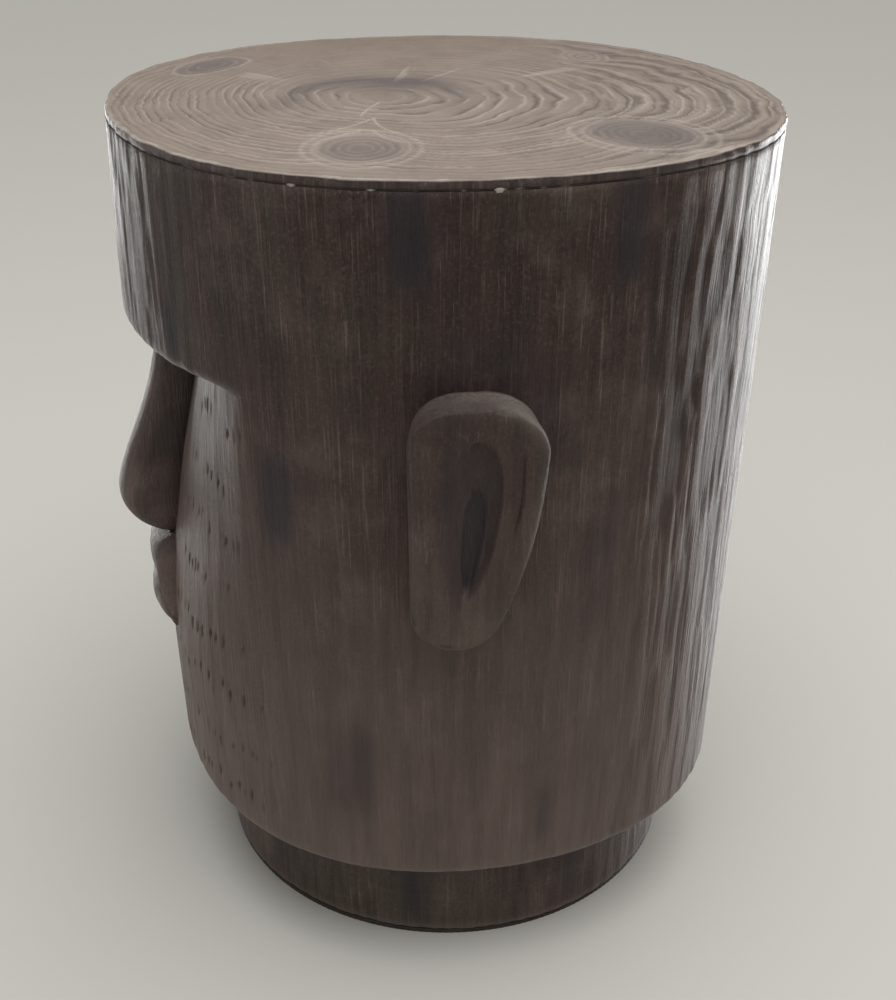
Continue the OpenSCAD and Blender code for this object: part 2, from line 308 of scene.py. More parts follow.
class Palette:
    """Builds one material: add() makes any node, and the other methods are short names for common ones."""

    def __init__(self, name: str) -> None:
        """Starts a material with an empty tree and its output."""
        self.material = bpy.data.materials.new(name)
        self.material.use_nodes = True
        self.tree = self.material.node_tree
        self.tree.nodes.clear()
        self.output = self.tree.nodes.new("ShaderNodeOutputMaterial")

    def add(self, kind: str, settings: dict[str, Any], sockets: dict[Any, Any], out: Any = 0) -> Wire:
        """Adds a node.

        Args:
            kind: The node's type.
            settings: Properties of the node, set first.
            sockets: Values or Wires by the input's name or number.
            out: Name or number of the output that is returned.

        Returns:
            The output.
        """
        node = self.tree.nodes.new(kind)
        for key, value in settings.items():
            setattr(node, key, value)
        for key, value in sockets.items():
            if isinstance(value, Wire):
                self.tree.links.new(value.socket, node.inputs[key])
            else:
                node.inputs[key].default_value = value
        return Wire(self.tree, node.outputs[out])

    def place_on_object(self, stretch: tuple[float, float, float] = (1.0, 1.0, 1.0)) -> Wire:
        """Object coordinates, scaled along each axis."""
        coordinates = self.add("ShaderNodeTexCoord", {}, {}, "Object")
        return self.add("ShaderNodeMapping", {}, {"Vector": coordinates, "Scale": stretch})

    def noise(self, where: Wire, scale: float, detail: float = 3.0, rough: float = 0.55) -> Wire:
        """Noise from 0 to 1."""
        sockets = {"Vector": where, "Scale": scale, "Detail": detail, "Roughness": rough}
        return self.add("ShaderNodeTexNoise", {}, sockets, "Fac")

    def mark(self, name: str) -> Wire:
        """A value that the mesh carries for each point."""
        return self.add("ShaderNodeAttribute", {"attribute_name": name}, {}, "Fac")

    def mix(self, share: Any, first: Any, second: Any, blend: str = "MIX") -> Wire:
        """Mixes two colours.

        Args:
            share: How much of the second colour, from 0 to 1.
            first: A Wire or a colour.
            second: A Wire or a colour.
            blend: The Mix node's blend type.

        Returns:
            The mixed colour.
        """
        ends = [value if isinstance(value, Wire) else (*value, 1.0) for value in (first, second)]
        settings = {"data_type": "RGBA", "blend_type": blend, "clamp_factor": True}
        return self.add("ShaderNodeMix", settings, {0: share, 6: ends[0], 7: ends[1]}, 2)

    def bump(self, height: Wire, depth: float, under: Wire | None = None) -> Wire:
        """A bumped normal. depth is the height of the bump in metres where height is 1."""
        sockets: dict[str, Any] = {"Height": height, "Strength": 1.0, "Distance": depth}
        if under is not None:
            sockets["Normal"] = under
        return self.add("ShaderNodeBump", {}, sockets, "Normal")

    def finish(self, sockets: dict[str, Any]) -> bpy.types.Material:
        """Ends the material in a Principled shader with these sockets."""
        shader = self.add("ShaderNodeBsdfPrincipled", {}, sockets, "BSDF")
        self.tree.links.new(shader.socket, self.output.inputs["Surface"])
        return self.material


# ---------------------------------------------------------------------------------------------------------
# Finishes
# ---------------------------------------------------------------------------------------------------------


@dataclass(frozen=True)
class Finish:
    """A finish: the record's slot it belongs to, and the material it makes once."""

    slot: str = ""

    def build(self) -> bpy.types.Material:
        """Makes the material."""
        raise NotImplementedError

    def material(self) -> bpy.types.Material:
        """The material, made at its first use."""
        name = type(self).__name__
        return bpy.data.materials.get(name) or self.build()


@dataclass(frozen=True)
class BarkPaint(Finish):
    """Dark brown paint brushed down the cast grain of the head, thin on the high places and paler low down.

    The mesh may carry these marks: groove and nick are dark, smudge is blue-black, and wear is pale.
    The groove mark also holds painted shade on the nose's flanks, the smudge mark painted shade round the
    ears and in their hollows, and the wear mark painted highlight on the ears' rims and the nose's tip.
    """

    slot: str = "bark_brown"
    deep: Colour = (0.0175, 0.0082, 0.0068)
    main: Colour = (0.060, 0.0325, 0.0265)
    pale: Colour = (0.185, 0.128, 0.110)
    olive: Colour = (0.058, 0.049, 0.034)
    # smudge also colours painted shade round and in the ears; dust also colours painted highlight on the
    # ears' rims and the nose's tip.
    smudge: Colour = (0.019, 0.014, 0.020)
    dust: Colour = (0.300, 0.265, 0.240)
    pitch: Colour = (0.007, 0.005, 0.005)
    paler_below: float = 0.38
    paler_from: float = 0.08
    roughness: float = 0.50
    shine: float = 0.34

    def tone(self, make: Palette) -> tuple[Wire, dict[str, Wire]]:
        """The paint's colour without marks.

        Fine upright streaks run between the two main tones. Thin pale scratches, olive and pale mottling
        and a fine speckle lie over them. The paint gets paler towards the foot.

        Args:
            make: The material that is being made.

        Returns:
            The colour, and the noises that the bump and the roughness use too.
        """
        plain = make.place_on_object()
        fine = make.noise(make.place_on_object((1.0, 1.0, 0.04)), 400.0, 6.0, 0.72)
        broad = make.noise(make.place_on_object((1.0, 1.0, 0.07)), 62.0, 4.0, 0.6)
        hair = make.noise(make.place_on_object((1.0, 1.0, 0.016)), 760.0, 3.0, 0.7)
        mottle = make.noise(plain, 11.0, 5.0, 0.6)
        cloud = make.noise(plain, 30.0, 5.0, 0.65)
        speckle = make.noise(plain, 620.0, 3.0, 0.7)
        height = make.add("ShaderNodeSeparateXYZ", {}, {"Vector": plain}, "Z")

        blend = (fine.rise(0.36, 0.64) * 0.65 + broad.rise(0.38, 0.64) * 0.35).held()
        colour = make.mix(blend, self.deep, self.main)
        colour = make.mix(mottle.rise(0.46, 0.68) * 0.65, colour, self.olive)
        colour = make.mix(cloud.rise(0.50, 0.74) * 0.38, colour, self.pale)
        colour = make.mix(hair.rise(0.56, 0.67) * cloud.rise(0.32, 0.60) * 0.75, colour, self.pale)
        colour = make.mix(speckle.rise(0.54, 0.76) * 0.45, colour, self.pale)
        colour = make.mix(speckle.rise(0.46, 0.26) * 0.60, colour, self.pitch)
        # Paler towards the foot, varied by the broad streaks.
        paler_low = height.rise(self.paler_below, self.paler_from) * (0.35 + broad * 0.5)
        colour = make.mix((paler_low * 1.05).held(), colour, self.pale)
        return colour, {"fine": fine, "hair": hair, "cloud": cloud, "speckle": speckle}

    def build(self) -> bpy.types.Material:
        """Makes the material: the tone, then the marks, then bump from the same noises."""
        make = Palette(type(self).__name__)
        colour, noise = self.tone(make)
        groove, nick = make.mark("groove"), make.mark("nick")
        smudge, wear_and_highlight = make.mark("smudge"), make.mark("wear_and_highlight")
        # These marks also carry painted light: shade on the nose's flanks, round the ears and in their
        # hollows, and highlight on the ears' rims and the nose's tip.
        colour = make.mix((groove * 0.50).held(), colour, self.pitch)
        colour = make.mix((smudge * (0.40 + noise["hair"] * 0.9)).held(), colour, self.smudge)
        colour = make.mix((wear_and_highlight * (0.15 + noise["fine"] * 0.9)).held(), colour, self.dust)
        colour = make.mix((nick * 0.85).held(), colour, self.pitch)
        rough = self.roughness + (noise["fine"] - 0.5) * 0.20 + (noise["cloud"] - 0.5) * 0.16 + nick * 0.25
        normal = make.bump(noise["fine"], 1.3 * MM)
        normal = make.bump(noise["hair"], 0.6 * MM, normal)
        normal = make.bump(noise["speckle"], 0.22 * MM, normal)
        sockets = {"Base Color": colour, "Roughness": rough.held(), "Normal": normal}
        return make.finish(sockets | {"Specular IOR Level": self.shine})


@dataclass(frozen=True)
class PlinthPaint(BarkPaint):
    """The head's paint on the plinth, darker, where level brushing shows over the upright grain."""

    slot: str = "plinth_brown"
    deep: Colour = (0.036, 0.0195, 0.0165)
    main: Colour = (0.098, 0.062, 0.053)
    paler_below: float = 0.05
    paler_from: float = -0.25

    def build(self) -> bpy.types.Material:
        """Makes the material: the tone, level brush marks, then the marks and the bump."""
        make = Palette(type(self).__name__)
        colour, noise = self.tone(make)
        brush = make.noise(make.place_on_object((0.10, 0.10, 1.0)), 460.0, 3.0, 0.65)
        groove, smudge, wear_and_highlight = make.mark("groove"), make.mark("smudge"), make.mark("wear_and_highlight")
        colour = make.mix(brush.rise(0.58, 0.80) * 0.30, colour, self.pale)
        colour = make.mix((groove * 0.6).held(), colour, self.pitch)
        colour = make.mix((smudge * 0.8).held(), colour, self.smudge)
        colour = make.mix((wear_and_highlight * (0.2 + noise["fine"] * 0.8)).held(), colour, self.dust)
        rough = self.roughness + 0.08 + (noise["fine"] - 0.5) * 0.2
        normal = make.bump(noise["fine"], 0.7 * MM)
        normal = make.bump(brush, 0.3 * MM, normal)
        normal = make.bump(noise["speckle"], 0.2 * MM, normal)
        sockets = {"Base Color": colour, "Roughness": rough.held(), "Normal": normal}
        return make.finish(sockets | {"Specular IOR Level": self.shine})


@dataclass(frozen=True)
class TopGrain(Finish):
    """Taupe wash on the top disc: pale on the ring ridges, dark in the furrows, smudged at the knots.

    The mesh carries these marks: ridge, furrow, crack, smudge, wear, and side for the brown outer edge.
    """

    slot: str = "top_grain"
    wash: Colour = (0.295, 0.238, 0.200)
    warm: Colour = (0.230, 0.174, 0.138)
    pale: Colour = (0.460, 0.400, 0.350)
    dark: Colour = (0.095, 0.070, 0.060)
    knot: Colour = (0.112, 0.090, 0.088)
    edge: Colour = (0.021, 0.0115, 0.0095)
    roughness: float = 0.52

    def build(self) -> bpy.types.Material:
        """Makes the material: a mottled wash, pale ridges, dark furrows, smudges and fine grit."""
        make = Palette(type(self).__name__)
        plain = make.place_on_object()
        cloud = make.noise(plain, 9.0, 5.0, 0.6)
        blotch = make.noise(plain, 34.0, 5.0, 0.65)
        grit = make.noise(plain, 420.0, 4.0, 0.7)
        speck = make.noise(plain, 1100.0, 2.0)
        fine = make.noise(make.place_on_object((1.0, 1.0, 0.05)), 330.0, 4.0, 0.65)
        far = make.add("ShaderNodeSeparateXYZ", {}, {"Vector": plain}, "X").rise(0.02, -0.12)
        ridge, furrow, crack = make.mark("ridge"), make.mark("furrow"), make.mark("crack")
        smudge, wear_and_highlight, side = make.mark("smudge"), make.mark("wear_and_highlight"), make.mark("side")
        colour = make.mix((cloud.rise(0.38, 0.66) * 0.5 + far * 0.5).held(), self.wash, self.warm)
        colour = make.mix(blotch.rise(0.46, 0.74) * 0.34, colour, self.dark)
        colour = make.mix(grit.rise(0.60, 0.30) * 0.16, colour, self.dark)
        colour = make.mix((furrow * (0.55 + blotch * 0.5)).held(), colour, self.dark)
        colour = make.mix((ridge * (0.30 + grit * 0.9)).held(), colour, self.pale)
        colour = make.mix((smudge * (0.50 + blotch * 0.7)).held(), colour, self.knot)
        colour = make.mix((crack * 0.80).held(), colour, self.pale)
        hair = make.noise(make.place_on_object((1.0, 1.0, 0.016)), 760.0, 3.0, 0.7)
        bark = make.mix(fine.rise(0.36, 0.64), self.edge, (0.060, 0.036, 0.030))
        bark = make.mix(hair.rise(0.56, 0.70) * 0.5, bark, (0.165, 0.118, 0.102))
        colour = make.mix(side, colour, bark)
        colour = make.mix((wear_and_highlight * (0.1 + grit * 0.9)).held(), colour, (0.50, 0.455, 0.415))
        rough = self.roughness + (grit - 0.5) * 0.25 + (blotch - 0.5) * 0.12
        normal = make.bump(grit, 0.40 * MM)
        normal = make.bump(speck, 0.10 * MM, normal)
        return make.finish({"Base Color": colour, "Roughness": rough.held(), "Normal": normal})


@dataclass(frozen=True)
class SeamFiller(Finish):
    """Pale cement filler, stained with the head's paint."""

    slot: str = "seam_filler"
    pale: Colour = (0.42, 0.385, 0.35)
    stain: Colour = (0.042, 0.025, 0.021)

    def build(self) -> bpy.types.Material:
        """Makes the material: patches of stain over grit."""
        make = Palette(type(self).__name__)
        plain = make.place_on_object()
        patch = make.noise(plain, 70.0, 4.0, 0.6)
        grit = make.noise(plain, 800.0, 3.0, 0.6)
        bare = make.mark("bare")
        colour = make.mix((bare * (0.5 + patch)).held(), self.stain, self.pale)
        colour = make.mix(grit.rise(0.55, 0.8) * 0.4, colour, self.stain)
        normal = make.bump(grit, 0.3 * MM)
        return make.finish({"Base Color": colour, "Roughness": (0.8 + patch * 0.15).held(), "Normal": normal})


@dataclass(frozen=True)
class FootRubberAndShadow(Finish):
    """Dark brown rubber, dulled by dust; its dark tone is also a painted contact shadow at the foot."""

    slot: str = "foot_rubber"

    def build(self) -> bpy.types.Material:
        """Makes the material: dark brown with grey dust and a fine grain."""
        make = Palette(type(self).__name__)
        plain = make.place_on_object()
        dust = make.noise(plain, 60.0, 4.0, 0.6)
        grain = make.noise(plain, 1500.0, 2.0)
        # Near-black brown: the rubber's colour, and a painted contact shadow along the foot.
        colour = make.mix(dust.rise(0.5, 0.8) * 0.5, (0.030, 0.020, 0.017), (0.090, 0.078, 0.070))
        normal = make.bump(grain, 0.08 * MM)
        return make.finish({"Base Color": colour, "Roughness": (0.72 + dust * 0.2).held(), "Normal": normal})


@dataclass(frozen=True)
class ScrimCloth(Finish):
    """Glass-fibre scrim bedded in cement slurry: an open square weave, half drowned in grey."""

    slot: str = "scrim"
    thread: float = 4.0 * MM

    def build(self) -> bpy.types.Material:
        """Makes the material: three sets of thread bands, one along each axis, under patches of slurry."""
        make = Palette(type(self).__name__)
        plain = make.place_on_object()
        slurry = make.noise(plain, 28.0, 5.0, 0.65)
        waves = []
        for axis in ("X", "Y", "Z"):
            settings = {"wave_type": "BANDS", "bands_direction": axis}
            sockets = {"Vector": plain, "Scale": 0.314 / self.thread, "Distortion": 1.2, "Detail": 1.0}
            waves.append(make.add("ShaderNodeTexWave", settings, sockets, "Fac").rise(0.55, 0.95))
        weave = (waves[0] * waves[1] + waves[1] * waves[2] + waves[2] * waves[0]).held()
        covered = slurry.rise(0.42, 0.60)
        colour = make.mix(weave, (0.20, 0.19, 0.175), (0.62, 0.60, 0.54))
        colour = make.mix(covered * 0.85, colour, (0.33, 0.32, 0.30))
        normal = make.bump(weave * (1.0 - covered) + slurry, 0.5 * MM)
        rough = (0.75 + slurry * 0.2).held()
        return make.finish({"Base Color": colour, "Roughness": rough, "Normal": normal})


@dataclass(frozen=True)
class StudioFloor(Finish):
    """Plain pale floor."""

    tone: Colour = (0.62, 0.61, 0.57)

    def build(self) -> bpy.types.Material:
        """Makes the material: one pale tone with the least variation."""
        make = Palette(type(self).__name__)
        soft = make.noise(make.place_on_object(), 3.0, 2.0)
        colour = make.mix(soft * 0.06, self.tone, (0.55, 0.54, 0.51))
        return make.finish({"Base Color": colour, "Roughness": 0.9})


# ---------------------------------------------------------------------------------------------------------
# The shape that every piece of the head shares
# ---------------------------------------------------------------------------------------------------------


@dataclass(frozen=True)
class HeadForm:
    """Radii of the drum, the brow and the recessed face, as functions of angle and height."""

    top_radius: float = 172.5 * MM
    taper: float = 7.5 * MM
    lean: float = 4.75 * MM
    lean_angle: float = math.radians(43.0)
    oval: float = 3.0 * MM
    corners: float = 2.75 * MM
    recess: float = 41.0 * MM
    recess_angle: float = math.radians(56.5)
    chin_height: float = 71.0 * MM
    brow_drop: float = 109.5 * MM
    brow_out: float = 5.0 * MM
    skin: float = 0.25 * MM
    top: float = field(default_factory=lambda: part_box("top_slab")[1].z)
    jaw: float = field(default_factory=lambda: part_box("head_shell")[0].z)
    rim: float = field(default_factory=lambda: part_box("head_shell")[1].z)

    @property
    def brow(self) -> float:
        """Height of the brow's lower edge."""
        return self.top - self.brow_drop

    @property
    def fade(self) -> float:
        """Height at which the recess has faded out."""
        return self.jaw + self.chin_height

    def drum(self, angle: Array, height: Array) -> Array:
        """Distance from the axis to the drum.

        The radius shrinks evenly from the top to the jaw. Cosines of the angle, of twice the angle and of
        four times the angle add the hand-shaped lean, oval and soft corners.

        Args:
            angle: Angle from the face.
            height: Height above the floor.

        Returns:
            The radius.
        """
        fall = self.taper * (self.top - height) / (self.top - self.jaw)
        wobble = self.lean * np.cos(angle - self.lean_angle)
        wobble = wobble + self.oval * np.cos(2.0 * angle + math.radians(93.0))
        wobble = wobble + self.corners * np.cos(4.0 * angle + math.radians(120.0))
        return self.top_radius - fall + wobble - self.skin

    def share(self, angle: Array) -> Array:
        """Share of the recess's depth: 1 in the middle of the face, 0 outside its ends, with a soft end."""
        end = math.cos(self.recess_angle)
        straight = (np.cos(angle) - end) / (1.0 - end)
        return 0.5 * (straight + np.sqrt(straight**2 + 0.0025)) * ease(straight, -0.30, 0.05)

    def face(self, angle: Array, height: Array) -> Array:
        """Distance from the axis to the face: the drum less the recess, which deepens towards the brow."""
        climb = np.clip((height - self.fade) / (self.brow - self.fade), 0.0, 1.0)
        return self.drum(angle, height) - self.share(angle) * self.recess * climb**1.5

    def brow_face(self, angle: Array, height: Array) -> Array:
        """Distance from the axis to the brow: the drum with its lower edge drawn forward."""
        forward = self.share(angle) * self.brow_out * (self.top - height) / self.brow_drop
        return self.drum(angle, height) + forward

    def forward(self, across: Array, height: Array) -> Array:
        """How far the face is forward of the axis at a distance to one side.

        The angle is found in three steps, each time from the radius at the last angle.

        Args:
            across: Distance to the side.
            height: Height above the floor.

        Returns:
            Distance forward of the axis.
        """
        radius = self.face(np.zeros_like(across), height)
        for _ in range(3):
            radius = self.face(np.arcsin(across / radius), height)
        return np.sqrt(radius**2 - across**2)


# ---------------------------------------------------------------------------------------------------------
# Grain and marks on the head
# ---------------------------------------------------------------------------------------------------------


@dataclass(frozen=True)
class Smudge:
    """A soft dark upright smudge: middle angle in degrees from the face, lower and upper end, half width."""

    angle: float
    low: float
    high: float
    half: float
    depth: float = 1.0

    def at(self, angle: Array, height: Array, radius: float) -> Array:
        """How dark the smudge is at each point, from 0 to 1.

        It is a bell across, and rises over the ends within a third of its height.

        Args:
            angle: Angle from the face.
            height: Height above the floor.
            radius: Radius that turns the angle into a distance.

        Returns:
            The darkness.
        """
        across = near_angle(angle, math.radians(self.angle)) * radius
        soft = (self.high - self.low) / 3.0
        inside = ease(height, self.low, self.low + soft) * ease(height, self.high, self.high - soft)
        return self.depth * inside * np.exp(-np.abs(across / (1.15 * self.half)) ** 2.2)


@dataclass(frozen=True)
class BarkGrain:
    """Cast and brushed grain on the drum: coarse and fine furrows, dents, stains and rows of adze nicks.

    The stains include painted shade round the ears.
    """

    coarse_depth: float = 0.70 * MM
    fine_depth: float = 0.60 * MM
    dent_depth: float = 0.9 * MM
    nick_depth: float = 1.3 * MM
    seed: int = 40
    smudges: tuple[Smudge, ...] = (
        Smudge(42, 0.345, 0.385, 0.006),
        Smudge(63, 0.255, 0.330, 0.009),
        Smudge(85, 0.390, 0.460, 0.009, 1.2),
        Smudge(117, 0.390, 0.465, 0.006, 1.2),
        Smudge(116.5, 0.205, 0.305, 0.008, 0.7),
        Smudge(73, 0.090, 0.182, 0.011, 0.75),
        Smudge(108, 0.080, 0.135, 0.005, 0.6),
        Smudge(150, 0.300, 0.390, 0.008, 0.8),
        Smudge(172, 0.120, 0.220, 0.010, 0.8),
        Smudge(196, 0.350, 0.460, 0.008),
        Smudge(214, 0.200, 0.290, 0.009, 0.8),
        Smudge(243, 0.100, 0.170, 0.010, 0.7),
        Smudge(252, 0.350, 0.440, 0.008),
        Smudge(290, 0.250, 0.330, 0.009),
        Smudge(322, 0.360, 0.420, 0.007),
        Smudge(330, 0.090, 0.150, 0.009, 0.7),
    )

    @staticmethod
    def boldness(angle: Array, height: Array) -> Array:
        """How strong the furrows are: bold round the back and on the brow's front, faint at the sides."""
        back = ease(-np.cos(angle), 0.42, 0.72)
        front = 0.75 * ease(np.cos(angle), 0.55, 0.90) * ease(height, 0.30, 0.36)
        return 0.16 + 0.84 * np.clip(back + front, 0.0, 1.0)

    def furrows(self, angle: Array, height: Array) -> tuple[Array, Array]:
        """Depth of the furrows, and how dark they are.

        The angle is first shifted by slow noise, so that the furrows wander. A furrow lies wherever noise
        with many cells round the drum and few up it crosses its middle value, which gives long narrow lines
        that fork and close. Finer noise, cut off, adds short shallow furrows between them.

        Args:
            angle: Angle from the face.
            height: Height above the floor.

        Returns:
            Depth in metres, and darkness from 0 to 1.
        """
        u, v = angle / TAU, height / 0.45
        wander = 0.0045 * (layered_noise(u, v, (16, 4), self.seed) - 0.5)
        drift = 0.003 * (value_noise(u, v, (60, 12), self.seed + 7) - 0.5)
        wave = u + wander + drift
        cross = np.abs(2.0 * value_noise(wave, v, (160, 6), self.seed + 11) - 1.0)
        coarse = 1.0 - ease(cross, 0.0, 0.40)
        fine = ease(layered_noise(wave, v, (200, 9), self.seed + 17, 2), 0.44, 0.66)
        patch = 0.45 + 0.55 * ease(layered_noise(u, v, (9, 3), self.seed + 23, 2), 0.30, 0.60)
        bold = patch * self.boldness(angle, height)
        depth = bold * self.coarse_depth * coarse + (0.35 + 0.65 * bold) * self.fine_depth * fine
        return depth, np.clip(bold * (0.55 * coarse + 0.30 * fine) + 0.22 * fine, 0.0, 1.0)

    def dents(self, angle: Array, height: Array) -> Array:
        """Depth of the broad hand-shaped dents: slow noise, a little taller than wide."""
        return self.dent_depth * layered_noise(angle / TAU, height / 0.45, (11, 4), self.seed + 31, 3)

    def relief(self, angle: Array, level: float) -> Array:
        """Depth of furrows and dents together, round one level."""
        height = np.full_like(angle, level)
        return self.furrows(angle, height)[0] + self.dents(angle, height)

    def nicks(self, angle: Array, height: Array, form: HeadForm) -> Array:
        """Short adze nicks in sloping rows across the face, as depth from 0 to 1.

        Each row has a place about every 7.5 mm, jittered along and up, and about three in ten are left empty.
        A nick is a bell whose half-width is 0.45 to 0.75 mm across and 1.6 to 3.6 mm up.

        Args:
            angle: Angle from the face, as a column of the grid.
            height: Height above the floor, as a row of the grid.
            form: The head's shape.

        Returns:
            The nicks' depth for each point of the grid.
        """
        rng = np.random.default_rng(self.seed + 50)
        total = np.zeros(np.broadcast(angle, height).shape)
        turn = near_angle(angle, 0.0)
        low, high, count = form.jaw + 20.0 * MM, form.brow - 28.0 * MM, 8
        for row in range(count):
            level = low + (high - low) * row / (count - 1)
            for side in (-1.0, 1.0):
                places = np.arange(math.radians(9.0), math.radians(62.0), 7.5 * MM / form.top_radius)
                places = places + rng.normal(0.0, 0.008, places.shape)
                slope = rng.uniform(0.05, 0.14)
                keep = rng.random(places.shape) < 0.72
                fade = ease(places, math.radians(66.0), math.radians(40.0))
                for spot, kept, strength in zip(places, keep, fade):
                    up = level + slope * (spot - 0.5) * form.top_radius + rng.normal(0.0, 2.2 * MM)
                    wide, tall = rng.uniform(0.45, 0.75) * MM, rng.uniform(1.6, 3.6) * MM
                    if kept:
                        across = (turn - side * spot) * form.top_radius
                        total += strength * bell(across, 0.12 * (height - up), wide) * bell(height, up, tall)
        return np.clip(1.5 * total, 0.0, 1.0)

    def stains_and_ear_shade(self, angle: Array, height: Array, radius: float) -> Array:
        """All smudges together, with edges broken by streaks, plus the painted shade round the ears."""
        streaks = value_noise(angle / TAU, height / 0.45, (240, 6), self.seed + 61)
        total = sum(smudge.at(angle, height, radius) for smudge in self.smudges)
        return np.clip(total * (0.55 + 0.75 * streaks) + self.ear_shade(angle, height, radius), 0.0, 1.0)

    @staticmethod
    def ear_shade(angle: Array, height: Array, radius: float) -> Array:
        """Painted shade round the upper half of each ear: a soft ring, darkest above the ear and behind it.
        """
        behind = (np.abs(near_angle(angle, 0.0)) - math.pi / 2.0) * radius
        ring = np.sqrt(((behind - 15.0 * MM) / 0.040) ** 2 + ((height - 0.292) / 0.076) ** 2)
        upper = ease(height, 0.280, 0.345)
        back = 0.5 + 0.5 * ease(behind, -30.0 * MM, 30.0 * MM)
        return 0.50 * np.exp(-(((ring - 1.0) / 0.24) ** 2)) * upper * back


# ---------------------------------------------------------------------------------------------------------
# Pieces
# ---------------------------------------------------------------------------------------------------------


@dataclass
class HeadShell:
    """The hollow drum wall with its brow, recessed face, jaw and floor flange."""

    form: HeadForm
    grain: BarkGrain
    finish: Finish
    wall: float = 12.0 * MM
    jaw_edge: float = 8.0 * MM
    brow_edge: float = 8.0 * MM
    ledge_rise: float = 2.0 * MM
    flange: float = 14.0 * MM
    flange_radius: float = 118.5 * MM
    around: int = 680
    face_rings: int = 80
    brow_rings: int = 24

    def outer(self, angle: Array) -> tuple[Array, Array, dict[str, Array]]:
        """The outer surface from the jaw to the rim, with its relief.

        The profile is a quarter round at the jaw, the face, the brow's level underside, a quarter round at
        the brow's edge, and the brow. blend says how far a ring has gone from the face's radius to the
        brow's.

        Args:
            angle: Angles of the grid's columns.

        Returns:
            Radii, heights and marks, each for every ring and column.
        """
        form = self.form
        turn = np.linspace(0.0, math.pi / 2.0, 9)
        ledge = np.linspace(0.0, 1.0, 9)[:-1]
        base = form.brow + self.ledge_rise
        height = np.concatenate(
            [
                form.jaw + self.jaw_edge * (1.0 - np.cos(turn)),
                np.linspace(form.jaw + self.jaw_edge, form.brow, self.face_rings + 1)[1:-1],
                form.brow + self.ledge_rise * ledge,
                base + self.brow_edge * (1.0 - np.cos(turn)),
                np.linspace(base + self.brow_edge, form.rim, self.brow_rings)[1:],
            ]
        )[:, None]
        zeros = np.zeros(self.face_rings - 1)
        jaw_cut = np.zeros_like(height)
        jaw_cut[: len(turn), 0] = self.jaw_edge * (1.0 - np.sin(turn))
        blend = np.concatenate([np.zeros(len(turn)), zeros, ledge, np.ones(len(turn) + self.brow_rings - 1)])
        blend = blend[:, None]
        edge_cut = np.concatenate(
            [
                np.zeros(len(turn)),
                zeros,
                np.full(len(ledge), self.brow_edge),
                self.brow_edge * (1.0 - np.sin(turn)),
                np.zeros(self.brow_rings - 1),
            ]
        )[:, None]
        hang = np.clip(5.0 * form.share(angle), 0.0, 1.0)
        brow_radius = form.brow_face(angle, height) - edge_cut * hang
        radius = form.face(angle, height) * (1.0 - blend) + brow_radius * blend - jaw_cut

        depth, dark = self.grain.furrows(angle, height)
        nick = self.grain.nicks(angle, height, form) * (1.0 - blend)
        under = 1.0 - hang * 4.0 * blend * (1.0 - blend)
        radius = radius - under * (depth + self.grain.dents(angle, height)) - self.grain.nick_depth * nick
        jaw_wear = bell(height, form.jaw + 3.0 * MM, 4.0 * MM) * 0.35
        brow_wear = bell(height, base + 2.0 * MM, 3.0 * MM) * hang * 0.5
        marks = {
            "groove": dark,
            "nick": nick,
            # Real smudges, plus the painted shade round the ears.
            "smudge": self.grain.stains_and_ear_shade(angle, height, form.top_radius),
            "wear_and_highlight": np.clip(jaw_wear + brow_wear, 0.0, 1.0),
        }
        return radius, height, marks

    def inner(self, angle: Array) -> tuple[Array, Array]:
        """The inner surface from the rim down to the flange, and the flange's edge.

        It is the outer shape set in by the wall, with the recess's ledge raised by the wall.

        Args:
            angle: Angles of the grid's columns.

        Returns:
            Radii and heights for each ring.
        """
        form, wall = self.form, self.wall
        ledge = form.brow + wall
        floor = form.jaw + self.flange
        rings = [(form.brow_face(angle, z) - wall, z) for z in (form.rim, ledge + self.ledge_rise)]
        rings.append((form.face(angle, np.full_like(angle, form.brow)) - wall, ledge))
        rings += [(form.face(angle, z) - wall, z) for z in np.linspace(form.brow - wall, floor, 9)]
        rings += [(np.full_like(angle, self.flange_radius), z) for z in (floor, form.jaw)]
        radii = np.stack([radius for radius, _ in rings])
        heights = np.array([z for _, z in rings])[:, None] * np.ones_like(angle)
        return radii, heights

    def build(self) -> bpy.types.Object:
        """Joins the outer and the inner surface into one closed wall and dresses it."""
        angle = np.linspace(0.0, TAU, self.around, endpoint=False)
        radius, height, marks = self.outer(angle)
        inner_radius, inner_height = self.inner(angle)
        height = np.broadcast_to(height, radius.shape)
        rings = np.concatenate(
            [polar_points(radius, angle, height), polar_points(inner_radius, angle, inner_height)]
        )
        blank = np.zeros_like(inner_radius)
        marks = {k: np.concatenate([np.broadcast_to(v, radius.shape), blank]) for k, v in marks.items()}
        piece = grid_object("head_casting", rings, Ends.JOINED, marks)
        return place(piece, self.finish, "head_shell")


